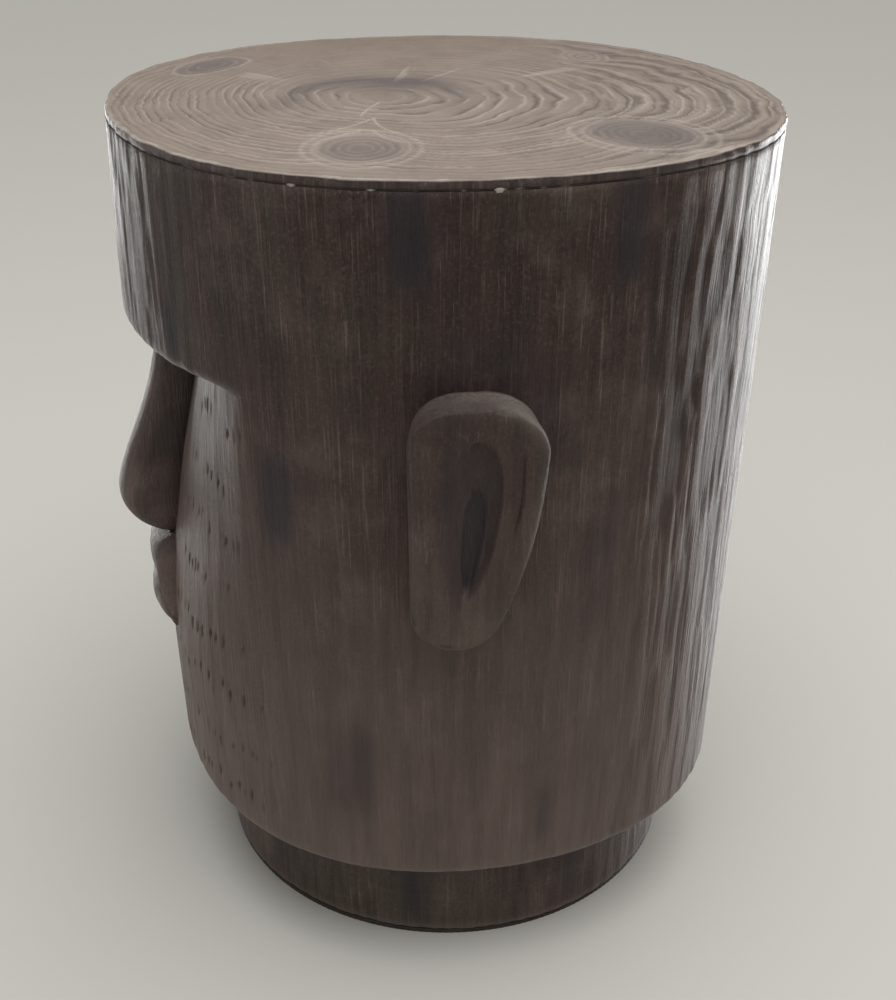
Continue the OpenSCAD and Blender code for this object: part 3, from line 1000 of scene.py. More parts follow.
@dataclass
class Nose:
    """The long nose: a slab with a broad ridge that swells into a rounded tip and nostrils."""

    form: HeadForm
    finish: Finish
    low_above_jaw: float = 133.0 * MM
    root_out: float = 25.5 * MM
    tip_out: float = 36.0 * MM
    root_width: float = 34.0 * MM
    tip_width: float = 60.0 * MM
    sunk: float = 2.5 * MM
    rings: int = 120
    across: int = 72
    seed: int = 90

    def build(self) -> bpy.types.Object:
        """Builds the nose in level rings from its underside up to the brow, and dresses it.

        Each ring's front is a rounded box: sideways it follows |sin q|^0.65 and forwards cos(q)^0.45, with
        q from -90 to 90 degrees. Its back follows the face, sunk a little into it. The tip is a quarter
        ellipse.

        Returns:
            The nose.
        """
        form = self.form
        low, high = form.jaw + self.low_above_jaw, form.brow + 1.0 * MM
        t = 1.0 - np.linspace(0.0, 1.0, self.rings) ** 1.25
        height = (high - t * (high - low))[:, None]
        t = t[:, None]
        tip = np.sqrt(np.clip(1.0 - (np.clip(t - 0.79, 0.0, 1.0) / 0.212) ** 2, 0.0, 1.0))
        out = (self.root_out + (self.tip_out - self.root_out) * ease(t, 0.32, 0.85)) * tip
        widening = 0.5 * ease(t, 0.0, 0.70) + 0.5 * ease(t, 0.66, 0.78)
        half = (self.root_width + (self.tip_width - self.root_width) * widening) / 2.0 * (0.6 + 0.4 * tip)

        q = np.linspace(-math.pi / 2.0, math.pi / 2.0, self.across)[None, :]
        side = np.sign(q) * np.abs(np.sin(q)) ** 0.65
        front_x = half * side
        wing = bell(t, 0.86, 0.10) * bell(np.abs(side), 0.80, 0.25)
        pinch = bell(t, 0.66, 0.16) * bell(np.abs(side), 1.0, 0.35)
        front_x = front_x * (1.0 + 0.05 * wing - 0.05 * pinch)
        lift = out * np.clip(np.cos(q), 0.0, 1.0) ** 0.45
        grain = layered_noise(0.5 + side * 0.2 + t * 0.05, t, (60, 4), self.seed, 3)
        dents = layered_noise(0.5 + side * 0.3, t, (6, 7), self.seed + 5, 2)
        front_y = form.forward(front_x, height) + lift - (0.5 * grain + 0.7 * dents) * MM * (lift > 1.0 * MM)

        back_x = half * np.linspace(1.0, -1.0, 26)[None, 1:-1]
        back_y = form.forward(back_x, height) - self.sunk
        front_y[:, 0] = form.forward(front_x[:, :1], height)[:, 0] - self.sunk
        front_y[:, -1] = form.forward(front_x[:, -1:], height)[:, 0] - self.sunk
        x = np.concatenate([front_x, back_x], 1)
        y = -np.concatenate([front_y, back_y], 1)
        z = np.broadcast_to(height, x.shape)
        # Painted shade: the nose's flanks are darkened, except near the tip.
        flank = 0.45 * ease(np.abs(side), 0.55, 0.95) * ease(t, 0.80, 0.60)
        groove = np.clip(ease(grain, 0.5, 0.75) * 0.8 + flank, 0.0, 1.0)
        groove = np.concatenate([groove, np.zeros_like(back_x)], 1)
        # Painted highlight: the top of the tip's bulb, on the +X side, is made pale.
        wear_and_highlight = np.concatenate([bell(t, 0.80, 0.10) * bell(side, 0.25, 0.5) * 0.22, np.zeros_like(back_x)], 1)
        marks = {"groove": groove, "wear_and_highlight": wear_and_highlight}
        piece = grid_object("long_nose", np.stack([x, y, z], -1), Ends.CAPPED, marks)
        return place(piece, self.finish, "nose")


class LipKind(Enum):
    """Which lip."""

    UPPER = "upper_lip"
    LOWER = "lower_lip"


@dataclass
class Mouth:
    """The two lips, which meet at an arched mouth line and wrap round the face."""

    form: HeadForm
    finish: Finish
    nose_above_jaw: float = 133.0 * MM
    line_above_jaw: float = 105.0 * MM
    corner_above_jaw: float = 91.0 * MM
    lower_height: float = 34.0 * MM
    width: float = 104.0 * MM
    upper_out: float = 15.5 * MM
    lower_out: float = 13.5 * MM
    sunk: float = 2.5 * MM
    stations: int = 110
    steps: int = 48
    seed: int = 120

    def line(self, u: Array) -> Array:
        """Height of the mouth line, where u is 0 in the middle and 1 at a corner."""
        fall = self.line_above_jaw - self.corner_above_jaw
        return self.form.jaw + self.line_above_jaw - fall * np.abs(u) ** 1.8

    def edges(self, kind: LipKind, u: Array) -> tuple[Array, Array]:
        """Lower and upper edge of a lip.

        Args:
            kind: Which lip.
            u: Place along the mouth, from -1 to 1.

        Returns:
            The heights of the two edges.
        """
        line, gap, least = self.line(u), 0.3 * MM, 4.0 * MM
        if kind is LipKind.UPPER:
            room = self.form.jaw + self.nose_above_jaw - line
            return line + gap, line + gap + np.maximum(least, room * (1.0 - 0.9 * ease(np.abs(u), 0.5, 1.0)))
        return line - gap - np.maximum(least, self.lower_height * (1.0 - u**2)), line - gap

    def build_lip(self, kind: LipKind) -> bpy.types.Object:
        """Builds one lip in upright slices from corner to corner, and dresses it.

        A slice's back follows the face. Its front stands out by a rounded bulge that is fullest part way up,
        and by less towards the corners, following (1 - u^2)^0.75.

        Args:
            kind: Which lip.

        Returns:
            The lip.
        """
        form = self.form
        is_upper = kind is LipKind.UPPER
        full, power, out = (0.60, 0.70, self.upper_out) if is_upper else (0.74, 1.2, self.lower_out)
        u = 0.99 * np.sin(np.linspace(-math.pi / 2.0, math.pi / 2.0, self.stations))[:, None]
        x = u * self.width / 2.0
        low, high = self.edges(kind, u)
        v = 0.5 - 0.5 * np.cos(np.linspace(0.0, math.pi, self.steps))[None, :]
        z = low + (high - low) * v
        bulge = np.where(v > full, (v - full) / (1.0 - full), (full - v) / full)
        shape = np.clip(1.0 - bulge**2, 0.0, 1.0) ** np.where(v > full, 0.5, power)
        lift = (2.0 * MM + (out - 2.0 * MM) * (1.0 - u**2) ** 0.75) * shape
        slant = layered_noise(0.5 + u * 0.16 + v * 0.035, 0.3 + v * 0.5, (90, 3), self.seed, 2)
        dents = layered_noise(0.5 + u * 0.3, v, (7, 3), self.seed + 3, 2)
        relief = (0.9 * slant + 0.7 * dents) * MM * ease(lift, 0.0, 4.0 * MM)
        face = form.forward(np.broadcast_to(x, z.shape), z)
        front = face + lift - relief - self.sunk * (1.0 - ease(shape, 0.0, 0.15))
        back = face - self.sunk - 1.0 * MM
        rings_x = np.broadcast_to(x, (self.stations, 2 * self.steps))
        rings_y = -np.concatenate([back, front[:, ::-1]], 1)
        rings_z = np.concatenate([z, z[:, ::-1]], 1)
        groove = np.concatenate([np.zeros_like(z), (ease(slant, 0.5, 0.72) * 0.9)[:, ::-1]], 1)
        nick = ease(layered_noise(0.5 + u * 0.3, v, (40, 6), self.seed + 9, 1), 0.86, 0.95) * 0.7
        nick = np.concatenate([np.zeros_like(z), (nick * ease(lift, 2.0 * MM, 6.0 * MM))[:, ::-1]], 1)
        points = np.stack([rings_x, rings_y, rings_z], -1)
        piece = grid_object(f"{kind.value}_cast", points, Ends.CAPPED, {"groove": groove, "nick": nick})
        return place(piece, self.finish, kind.value)

    def build(self) -> None:
        """Builds both lips."""
        for kind in LipKind:
            self.build_lip(kind)


@dataclass
class Ear:
    """A long ear: a teardrop pad with a bevelled rim, a groove inside the rim and a scooped hollow."""

    form: HeadForm
    finish: Finish
    side: int
    height: float = 130.0 * MM
    rise: float = 15.3 * MM
    width: float = 57.0 * MM
    top_out: float = 19.0 * MM
    lobe_out: float = 14.0 * MM
    scoop: float = 3.0 * MM
    groove: float = 2.2 * MM
    around: int = 300
    edge_layers: int = 16
    face_layers: int = 90
    seed: int = 150

    @staticmethod
    def arc(centre: tuple[float, float], radius: float, start: float, end: float, count: int) -> Array:
        """Points on an arc, with angles in degrees."""
        t = np.radians(np.linspace(start, end, count))
        return np.stack([centre[0] + radius * np.cos(t), centre[1] + radius * np.sin(t)], -1)

    def outline(self) -> Array:
        """The ear's outline, evenly spaced, as distance round the drum (positive to the back) and height.

        It runs anticlockwise: a wide arc over the top at the back, a smaller one at the front, a straight
        front edge, an arc round the lobe, and a curve up the back that bulges backwards.

        Returns:
            Points measured from the ear's middle.
        """
        front_r, back_r, lobe_r = self.width * 0.36, self.width * 0.46, self.width * 0.35
        front = -self.width * 0.27
        back, half = front + self.width, self.height / 2.0
        top = self.arc((back - back_r, half - back_r), back_r, -8.0, 90.0, 24)
        corner = self.arc((front + front_r, half - front_r), front_r, 90.0, 180.0, 20)
        lobe = self.arc((front + lobe_r, lobe_r - half), lobe_r, 180.0, 338.0, 32)
        bulge = np.array([back - 2.0 * MM, lobe[-1][1] + 38.0 * MM])
        t = np.linspace(0.0, 1.0, 22)[1:-1, None]
        curve = (1.0 - t) ** 2 * lobe[-1] + 2.0 * t * (1.0 - t) * bulge + t**2 * top[0]
        points = np.concatenate([top, corner, lobe, curve])
        closed = np.concatenate([points, points[:1]])
        run = np.concatenate([[0.0], np.cumsum(np.linalg.norm(np.diff(closed, axis=0), axis=1))])
        even = np.linspace(0.0, run[-1], self.around, endpoint=False)
        return np.stack([np.interp(even, run, closed[:, k]) for k in (0, 1)], -1)

    def hollows(self, s: Array, z: Array) -> tuple[Array, Array, Array]:
        """The carved parts of the ear's face, each from 0 to 1.

        The scoop is a teardrop that leans back, with a hard back edge and a soft front edge. The groove is a
        narrower hollow in its lower half. The crease is a thin line that follows the back rim.

        Args:
            s: Distance round the drum from the ear's middle, positive to the back.
            z: Height above the ear's middle.

        Returns:
            The scoop, the groove and the crease.
        """
        across = (s - 8.0 * MM - 0.05 * z) / (12.0 * MM + 0.06 * z)
        up = (z - 7.0 * MM) / (41.0 * MM)
        reach = np.sqrt(across**2 + np.abs(up) ** 2.6)
        scoop = 1.0 - ease((reach - 1.0) / np.where(across > 0.0, 0.10, 0.42), -1.0, 1.0)
        across = (s - 10.3 * MM - 0.08 * (z + 5.0 * MM)) / (4.6 * MM + 0.05 * z)
        up = (z + 5.0 * MM) / (27.0 * MM)
        reach = np.sqrt(across**2 + np.abs(up) ** 3.0)
        groove = 1.0 - ease((reach - 1.0) / 0.26, -1.0, 1.0)
        bend = np.clip((25.0 * MM - z) / (30.0 * MM), 0.0, None)
        line = 30.8 * MM - 5.0 * MM * bend**2
        crease = bell(s, line, 0.6 * MM) * ease(z, -2.0 * MM, 8.0 * MM) * ease(z, 46.0 * MM, 38.0 * MM)
        return scoop, groove, crease

    def build(self) -> bpy.types.Object:
        """Builds the ear in layers from behind the drum's surface, up its side, and in to its centre.

        The side is upright. The edge is a quarter ellipse, narrow at the top and wider at the lobe. Inside it
        the face is slightly dished and carries the hollows and the grain. The scoop and the groove are
        darkened as painted shade, and the rim's back and top, the upper side and the groove's front wall are
        lightened as painted highlight over the rim's real wear.

        Returns:
            The ear.
        """
        form = self.form
        outline = self.outline()[:: self.side]
        centre = np.array([self.width * 0.17, self.height * 0.05])
        arm = outline - centre
        length = np.linalg.norm(arm, axis=1)
        side_share = np.array([0.40, 0.85, 1.012, 1.004, 1.0, 1.0, 1.0])
        side_depth = np.array([-3.0, -3.0, -0.6, 0.6, 2.2, 4.4, 6.6]) * MM
        round_in = 8.0 * MM * np.linspace(0.0, 1.0, self.edge_layers) ** 1.6
        share = np.linspace(1.0, 0.02, self.face_layers)[1:]
        scale = np.concatenate(
            [
                side_share[:, None] * np.ones_like(length),
                1.0 - round_in[:, None] / length,
                share[:, None] * (1.0 - 8.0 * MM / length),
            ]
        )
        flat = centre + arm[None] * scale[..., None]
        s, z = flat[..., 0], flat[..., 1]
        inset = np.clip((1.0 - scale) * length, 0.0, None)
        edge = 1.6 * MM + 4.5 * MM * np.clip(0.4 - z / self.height, 0.0, 1.0)
        full = self.lobe_out + (self.top_out - self.lobe_out) * (z / self.height + 0.5)

        scoop, groove, crease = self.hollows(s, z)
        u, v = 0.5 + s / 0.4, 0.5 + z / 0.3
        streaks = layered_noise(u, v, (110, 5), self.seed, 2)
        dents = layered_noise(u, v, (18, 12), self.seed + 4, 3)
        chips = value_noise(u, v, (80, 40), self.seed + 6)
        drop = 0.36 * full * (1.0 - np.sqrt(1.0 - np.clip(1.0 - inset / edge, 0.0, 1.0) ** 2))
        chipped = 0.9 * MM * ease(chips, 0.45, 0.8) * bell(inset, 0.7 * edge, 0.9 * MM)
        dish = 1.2 * MM * ease(inset, 2.0 * MM, 16.0 * MM)
        relief = (0.55 * streaks + 1.0 * dents) * MM + chipped
        out = full - drop - dish - relief - self.scoop * scoop - self.groove * groove - 0.7 * MM * crease
        row = np.arange(len(scale))[:, None]
        rising = np.interp(row, np.arange(len(side_depth)), side_depth)
        out = np.where(row < len(side_depth), np.minimum(rising, out - 0.5 * MM * (row < 6)), out)

        level = form.brow + self.rise - self.height / 2.0 + z
        angle = self.side * (math.pi / 2.0 + s / (form.top_radius - form.taper))
        radius = form.face(angle, level) + out
        back_top = ease(s / self.width + z / self.height, 0.15, 0.75)
        rim = np.exp(-inset / (2.2 * MM)) * (row > 2)
        wall = groove * (1.0 - groove) * 4.0 * (s < 10.0 * MM)
        flank = (row > 2) * (row < len(side_depth)) * ease(z / self.height, 0.30, 0.48)
        line = bell(inset, 0.6 * edge, 1.0 * MM) * (row >= len(side_depth)) * ease(z, 10.0 * MM, 40.0 * MM)
        dark = 0.45 * ease(streaks, 0.45, 0.7) + 0.7 * crease + 0.6 * chipped / MM + 0.8 * line
        behind = ease(s / self.width, 0.25, 0.60) * ease(z / self.height, -0.45, 0.10)
        # Pale: real wear along the rim, plus painted highlight on the rim's back and top, on the upper side
        # and on the groove's front wall.
        wear_and_highlight = (0.12 + 0.25 * back_top + 0.80 * behind) * rim + 0.22 * wall + 0.24 * flank * (0.2 + dents)
        marks = {
            "groove": np.clip(dark, 0.0, 1.0),
            # Painted shade: the scoop and the groove are darkened.
            "smudge": np.clip(0.62 * scoop + 0.30 * groove, 0.0, 1.0),
            "wear_and_highlight": np.clip(wear_and_highlight, 0.0, 1.0),
        }
        name = "ear_left" if self.side > 0 else "ear_right"
        piece = grid_object(f"{name}_cast", polar_points(radius, angle, level), Ends.CAPPED, marks)
        return place(piece, self.finish, name)


@dataclass(frozen=True)
class Knot:
    """A knot in the top disc: its centre, its half width and half length, and how dark it is."""

    x: float
    y: float
    wide: float
    long: float
    turn: float
    dark: float
    spacing: float

    def reach(self, x: Array, y: Array) -> Array:
        """Distance from the knot's centre in a turned and stretched frame, where 1 is its edge."""
        across = (x - self.x) * math.cos(self.turn) + (y - self.y) * math.sin(self.turn)
        along = (y - self.y) * math.cos(self.turn) - (x - self.x) * math.sin(self.turn)
        return np.sqrt((across / self.long) ** 2 + (along / self.wide) ** 2)


@dataclass
class TopDisc:
    """The disc on top: growth rings round an off-centre pith, knots, cracks and a worn, uneven rim."""

    form: HeadForm
    grain: BarkGrain
    finish: Finish
    lip: float = 4.0 * MM
    spigot: float = 12.0 * MM
    spigot_inset: float = 13.0 * MM
    edge: float = 0.9 * MM
    pith: tuple[float, float] = (14.0 * MM, -35.0 * MM)
    ring_count: float = 25.0
    ridge_height: float = 1.0 * MM
    around: int = 500
    across: int = 182
    seed: int = 200
    knots: tuple[Knot, ...] = (
        Knot(0.120, -0.037, 0.021, 0.027, 0.0, 0.55, 4.6 * MM),
        Knot(0.094, 0.090, 0.026, 0.030, 0.5, 0.75, 4.4 * MM),
        Knot(-0.068, -0.131, 0.017, 0.034, -0.5, 0.85, 5.0 * MM),
        Knot(-0.095, 0.080, 0.014, 0.018, 0.4, 0.35, 4.5 * MM),
    )

    def pattern(self, x: Array, y: Array, share: Array, angle: Array) -> dict[str, Array]:
        """Height and marks of the ring pattern.

        A ring is a line of equal share of the way from the pith to the rim, so rings are round at the pith
        and follow the rim at the edge. Slow noise shifts them, and each knot pushes them aside. The share
        is bent so that rings lie about 9 mm apart near the pith and 4 to 5 mm apart near the rim. A ring's
        ridge is a narrow crest of the cosine of its count, and its furrow is the trough beside it. Towards +Y
        a second set of ridges is added, wider and about twice as far apart.

        Args:
            x: Places on the disc.
            y: Places on the disc.
            share: Share of the way from the pith to the rim.
            angle: Direction from the pith, in radians.

        Returns:
            height from 0 (lowest) to 1, and the marks ridge, furrow, crack, smudge and wear.
        """
        u, v = 0.5 + y / 0.8, 0.5 + x / 0.8
        sweep = np.mod(angle / TAU, 1.0)
        slow = layered_noise(u, v, (10, 10), self.seed, 3) - 0.5
        quick = layered_noise(u, v, (60, 60), self.seed + 5, 2) - 0.5
        push = sum(0.10 * np.exp(-((k.reach(x, y) / 1.35) ** 2)) for k in self.knots)
        bent = share + push
        count = self.ring_count * (0.62 * bent + 0.38 * bent**2.2) + 3.0 * slow + 0.45 * quick
        phase = TAU * count
        part = value_noise(sweep, count / 5.0, (13, 11), self.seed + 9)
        broken = value_noise(sweep, count / 2.2, (37, 17), self.seed + 10)
        near = ease(x, -70.0 * MM, 30.0 * MM)
        right = ease(y, 20.0 * MM, 95.0 * MM)
        strength = 0.18 + 0.95 * ease(part, 0.35, 0.70) * ease(broken, 0.22, 0.55)
        strength = strength * (0.30 + 0.50 * near + 0.35 * right) * ease(share, 0.045, 0.10)
        crest = np.clip(0.5 + 0.5 * np.cos(phase), 0.0, 1.0) ** 5.0
        trough = np.clip(0.5 + 0.5 * np.cos(phase + 1.7), 0.0, 1.0) ** 2.2
        wide_phase = TAU * (count * 0.43 + 0.5 * quick)
        wide_crest = np.clip(0.5 + 0.5 * np.cos(wide_phase), 0.0, 1.0) ** 3.5
        wide_trough = np.clip(0.5 + 0.5 * np.cos(wide_phase + 2.2), 0.0, 1.0) ** 2.0
        wide = ease(y, 40.0 * MM, 100.0 * MM) * ease(broken, 0.10, 0.40)
        crest = np.maximum(crest * strength, 0.50 * wide * wide_crest)
        trough = np.maximum(trough * strength, 0.95 * wide * wide_trough)

        inside = np.zeros_like(x)
        knot_ridge = np.zeros_like(x)
        knot_dark = np.zeros_like(x)
        for knot in self.knots:
            reach = knot.reach(x, y) + 0.10 * slow + 0.05 * quick
            body = 1.0 - ease(reach, 0.88, 1.08)
            turns = reach * knot.wide / knot.spacing + 0.8 * quick
            rings = np.clip(0.5 + 0.5 * np.cos(TAU * turns), 0.0, 1.0)
            inside = np.maximum(inside, body)
            knot_ridge = np.maximum(knot_ridge, body * rings**2.5 * ease(reach, 0.0, 0.3))
            outline = bell(reach, 1.0, 0.050) + 0.7 * bell(reach, 1.24, 0.045)
            knot_ridge = np.maximum(knot_ridge, outline * ease(x, -20.0 * MM, 40.0 * MM))
            knot_dark = knot_dark + knot.dark * (1.0 - ease(reach + 0.5 * slow, 0.55, 1.25))
        ridge = crest * (1.0 - inside) + knot_ridge * 0.85
        furrow = trough * (1.0 - inside)

        px, py = self.pith
        from_pith = np.hypot(x - px, y - py)
        patch = bell(x, -22.0 * MM, 24.0 * MM) * bell(y, -30.0 * MM, 34.0 * MM) * ease(slow, -0.20, 0.08)
        left = bell(x, 34.0 * MM, 24.0 * MM) * bell(y, -82.0 * MM, 26.0 * MM)
        band = bell(from_pith, 44.0 * MM, 7.0 * MM) * ease(x, 50.0 * MM, 0.0)
        patch = patch + 0.55 * left * ease(slow, -0.1, 0.2) + 0.5 * band * (0.4 + 1.2 * part)
        patch = patch + 0.35 * bell(share, 0.90, 0.06) * right * ease(broken, 0.3, 0.7)
        crack = self.cracks(x, y) + self.scratches(x, share, sweep)
        rim = ease(share, 0.982, 0.996)
        ragged = value_noise(sweep, share, (150, 3), self.seed + 13)
        wear_and_highlight = rim * (0.20 + 0.95 * ease(ragged, 0.25, 0.8)) * (0.25 + 0.75 * ease(x, 0.02, 0.13))
        height = 0.35 + 0.60 * ridge - 0.40 * furrow + 0.35 * np.clip(crack, 0.0, 1.0)
        height = height + 0.6 * slow + 0.15 * quick
        return {
            "height": np.clip(height, 0.0, 1.0) * (1.0 - 0.5 * rim),
            "ridge": np.clip(ridge, 0.0, 1.0) * (1.0 - rim),
            "furrow": np.clip(furrow, 0.0, 1.0) * (1.0 - rim),
            "crack": np.clip(crack, 0.0, 1.0),
            "smudge": np.clip(knot_dark + 0.9 * patch, 0.0, 1.0),
            "wear_and_highlight": np.clip(wear_and_highlight, 0.0, 1.0),
        }

    @staticmethod
    def stroke(x: Array, y: Array, start: tuple[float, float], end: tuple[float, float], bow: float) -> Array:
        """A thin pale line from start to end that bows sideways, as a bell 0.6 mm wide across it."""
        way = np.array([end[0] - start[0], end[1] - start[1]])
        length = float(np.hypot(*way))
        way = way / length
        along = ((x - start[0]) * way[0] + (y - start[1]) * way[1]) / length
        aside = (y - start[1]) * way[0] - (x - start[0]) * way[1]
        aside = aside - bow * 4.0 * along * (1.0 - along)
        ends = ease(along, -0.02, 0.06) * ease(along, 1.02, 0.92)
        return ends * bell(aside, 0.0, 0.6 * MM)

    def cracks(self, x: Array, y: Array) -> Array:
        """The split that runs from the pith towards the near knot and forks round it."""
        px, py = self.pith
        knot = self.knots[0]
        fork = (px + 46.0 * MM, py + 1.0 * MM)
        lines = [
            ((px + 12.0 * MM, py + 2.0 * MM), (px + 44.0 * MM, py - 6.0 * MM), -1.0 * MM),
            (fork, (knot.x - 22.0 * MM, knot.y - 26.0 * MM), 3.0 * MM),
            (fork, (knot.x - 26.0 * MM, knot.y + 18.0 * MM), -4.0 * MM),
            ((knot.x - 34.0 * MM, knot.y - 2.0 * MM), (knot.x - 12.0 * MM, knot.y - 23.0 * MM), 2.0 * MM),
            ((knot.x - 34.0 * MM, knot.y + 4.0 * MM), (knot.x - 10.0 * MM, knot.y + 19.0 * MM), -3.0 * MM),
        ]
        return sum(self.stroke(x, y, start, end, bow) for start, end, bow in lines)

    def scratches(self, x: Array, share: Array, sweep: Array) -> Array:
        """Short pale rays that point away from the pith, thickest on the far side."""
        rays = value_noise(np.mod(sweep, 1.0), share * 0.5, (110, 7), self.seed + 21)
        band = bell(share, 0.45, 0.22) * ease(x, 10.0 * MM, -50.0 * MM)
        return ease(rays, 0.80, 0.95) * band * 0.7

    def build(self) -> bpy.types.Object:
        """Builds the disc as rings from the pith out over the rim, down the lip and in under to the spigot.

        Returns:
            The disc.
        """
        form = self.form
        angle = np.linspace(0.0, TAU, self.around, endpoint=False)
        chips = layered_noise(angle / TAU, np.zeros_like(angle), (70, 1), self.seed + 31, 3)
        chips = 0.9 * MM * ease(chips, 0.45, 0.75)
        side = form.drum(angle, form.top) - 0.1 * MM - self.grain.relief(angle, form.top)
        rim = polar_points(side - 0.3 * MM - self.edge - chips, angle, form.top)[:, :2]
        pith = np.array(self.pith)
        share = np.linspace(0.004, 1.0, self.across)[:, None]
        flat = pith + (rim[None] - pith) * share[..., None]
        x, y = flat[..., 0], flat[..., 1]
        way = rim - pith
        direction = np.broadcast_to(np.arctan2(way[:, 1], way[:, 0]), x.shape)
        pattern = self.pattern(x, y, np.broadcast_to(share, x.shape), direction)
        height = pattern.pop("height")
        z = form.top - 0.05 * MM - self.ridge_height * (1.0 - height)
        top = np.stack([x, y, z], -1)

        ragged = layered_noise(angle / TAU, np.zeros_like(angle), (90, 1), self.seed + 30, 2)
        turn = np.linspace(0.15, 1.0, 6)[:, None] * math.pi / 2.0
        cut = self.edge * (1.0 + 0.6 * (ragged - 0.5))
        outer = side - chips
        under = form.top - self.lip
        rows = [
            (outer - cut * (1.0 - np.sin(t)), form.top - 0.4 * MM - cut * (1.0 - np.cos(t))) for t in turn
        ]
        rows += [(side, np.full_like(angle, form.top - 2.4 * MM)), (side, np.full_like(angle, under))]
        inner = form.drum(angle, form.top) - self.spigot_inset
        bottom = under - 1.0 * MM - self.spigot
        rows += [(inner, np.full_like(angle, under)), (inner, np.full_like(angle, bottom))]
        rows.append((inner * 0.03, np.full_like(angle, bottom)))
        skirt = np.stack([polar_points(radius, angle, level) for radius, level in rows])
        rings = np.concatenate([top, skirt])[::-1]
        tail = np.zeros((len(rows), self.around))
        marks = {k: np.concatenate([v, tail])[::-1] for k, v in pattern.items()}
        brown = np.ones((len(rows), self.around))
        brown[:4] = np.linspace(0.0, 1.0, 4)[:, None] ** 1.5
        near = 0.30 + 0.70 * ease(np.cos(angle), -0.2, 0.8)
        edge_wear = tail.copy()
        edge_wear[:4] = near * (0.15 + 0.85 * ease(ragged, 0.35, 0.70))
        marks["side"] = np.concatenate([np.zeros_like(x), brown])[::-1]
        marks["wear_and_highlight"] = np.maximum(marks["wear_and_highlight"], np.concatenate([np.zeros_like(x), edge_wear])[::-1])
        piece = grid_object("wood_grain_disc", rings, Ends.CAPPED, marks)
        return place(piece, self.finish, "top_slab")


@dataclass
class RimSeam:
    """The line of filler under the disc: a thin uneven bead with drips where it was smeared."""

    form: HeadForm
    grain: BarkGrain
    finish: Finish
    thick: float = 1.0 * MM
    around: int = 900
    sides: int = 12
    seed: int = 260

    def build(self) -> bpy.types.Object:
        """Builds the bead as a tube round the rim.

        The tube's section is an ellipse. Noise swells it, and where a second noise is high it hangs down in a
        drip and is bare of paint.

        Returns:
            The bead.
        """
        form = self.form
        angle = np.linspace(0.0, TAU, self.around, endpoint=False)[:, None]
        t = np.linspace(0.0, TAU, self.sides, endpoint=False)[None, :]
        level = form.rim + self.thick / 2.0
        lump = layered_noise(angle / TAU, np.zeros_like(angle), (170, 1), self.seed, 2)
        near = ease(np.abs(near_angle(angle, math.radians(84.0))), math.radians(24.0), math.radians(8.0))
        drip = ease(value_noise(angle / TAU, np.zeros_like(angle), (230, 1), self.seed + 4), 0.72, 0.90)
        drip = drip * np.clip(0.12 + near, 0.0, 1.0)
        wide = (0.9 + 0.3 * lump + 0.5 * drip) * MM
        tall = (0.8 + 0.3 * lump + 0.5 * drip) * MM
        middle = form.drum(angle, level) - 1.3 * MM - self.grain.relief(angle, level)
        radius = middle + wide * np.cos(t)
        hang = drip * 2.4 * MM * np.clip(-np.sin(t), 0.0, 1.0) ** 2
        height = level + tall * np.sin(t) - hang
        bare = np.broadcast_to(np.clip(drip * 1.2, 0.0, 1.0), height.shape)
        rings = polar_points(radius, np.broadcast_to(angle, height.shape), height)
        piece = grid_object("seam_bead", rings[::-1], Ends.JOINED, {"bare": bare[::-1]})
        return place(piece, self.finish, "rim_seam")


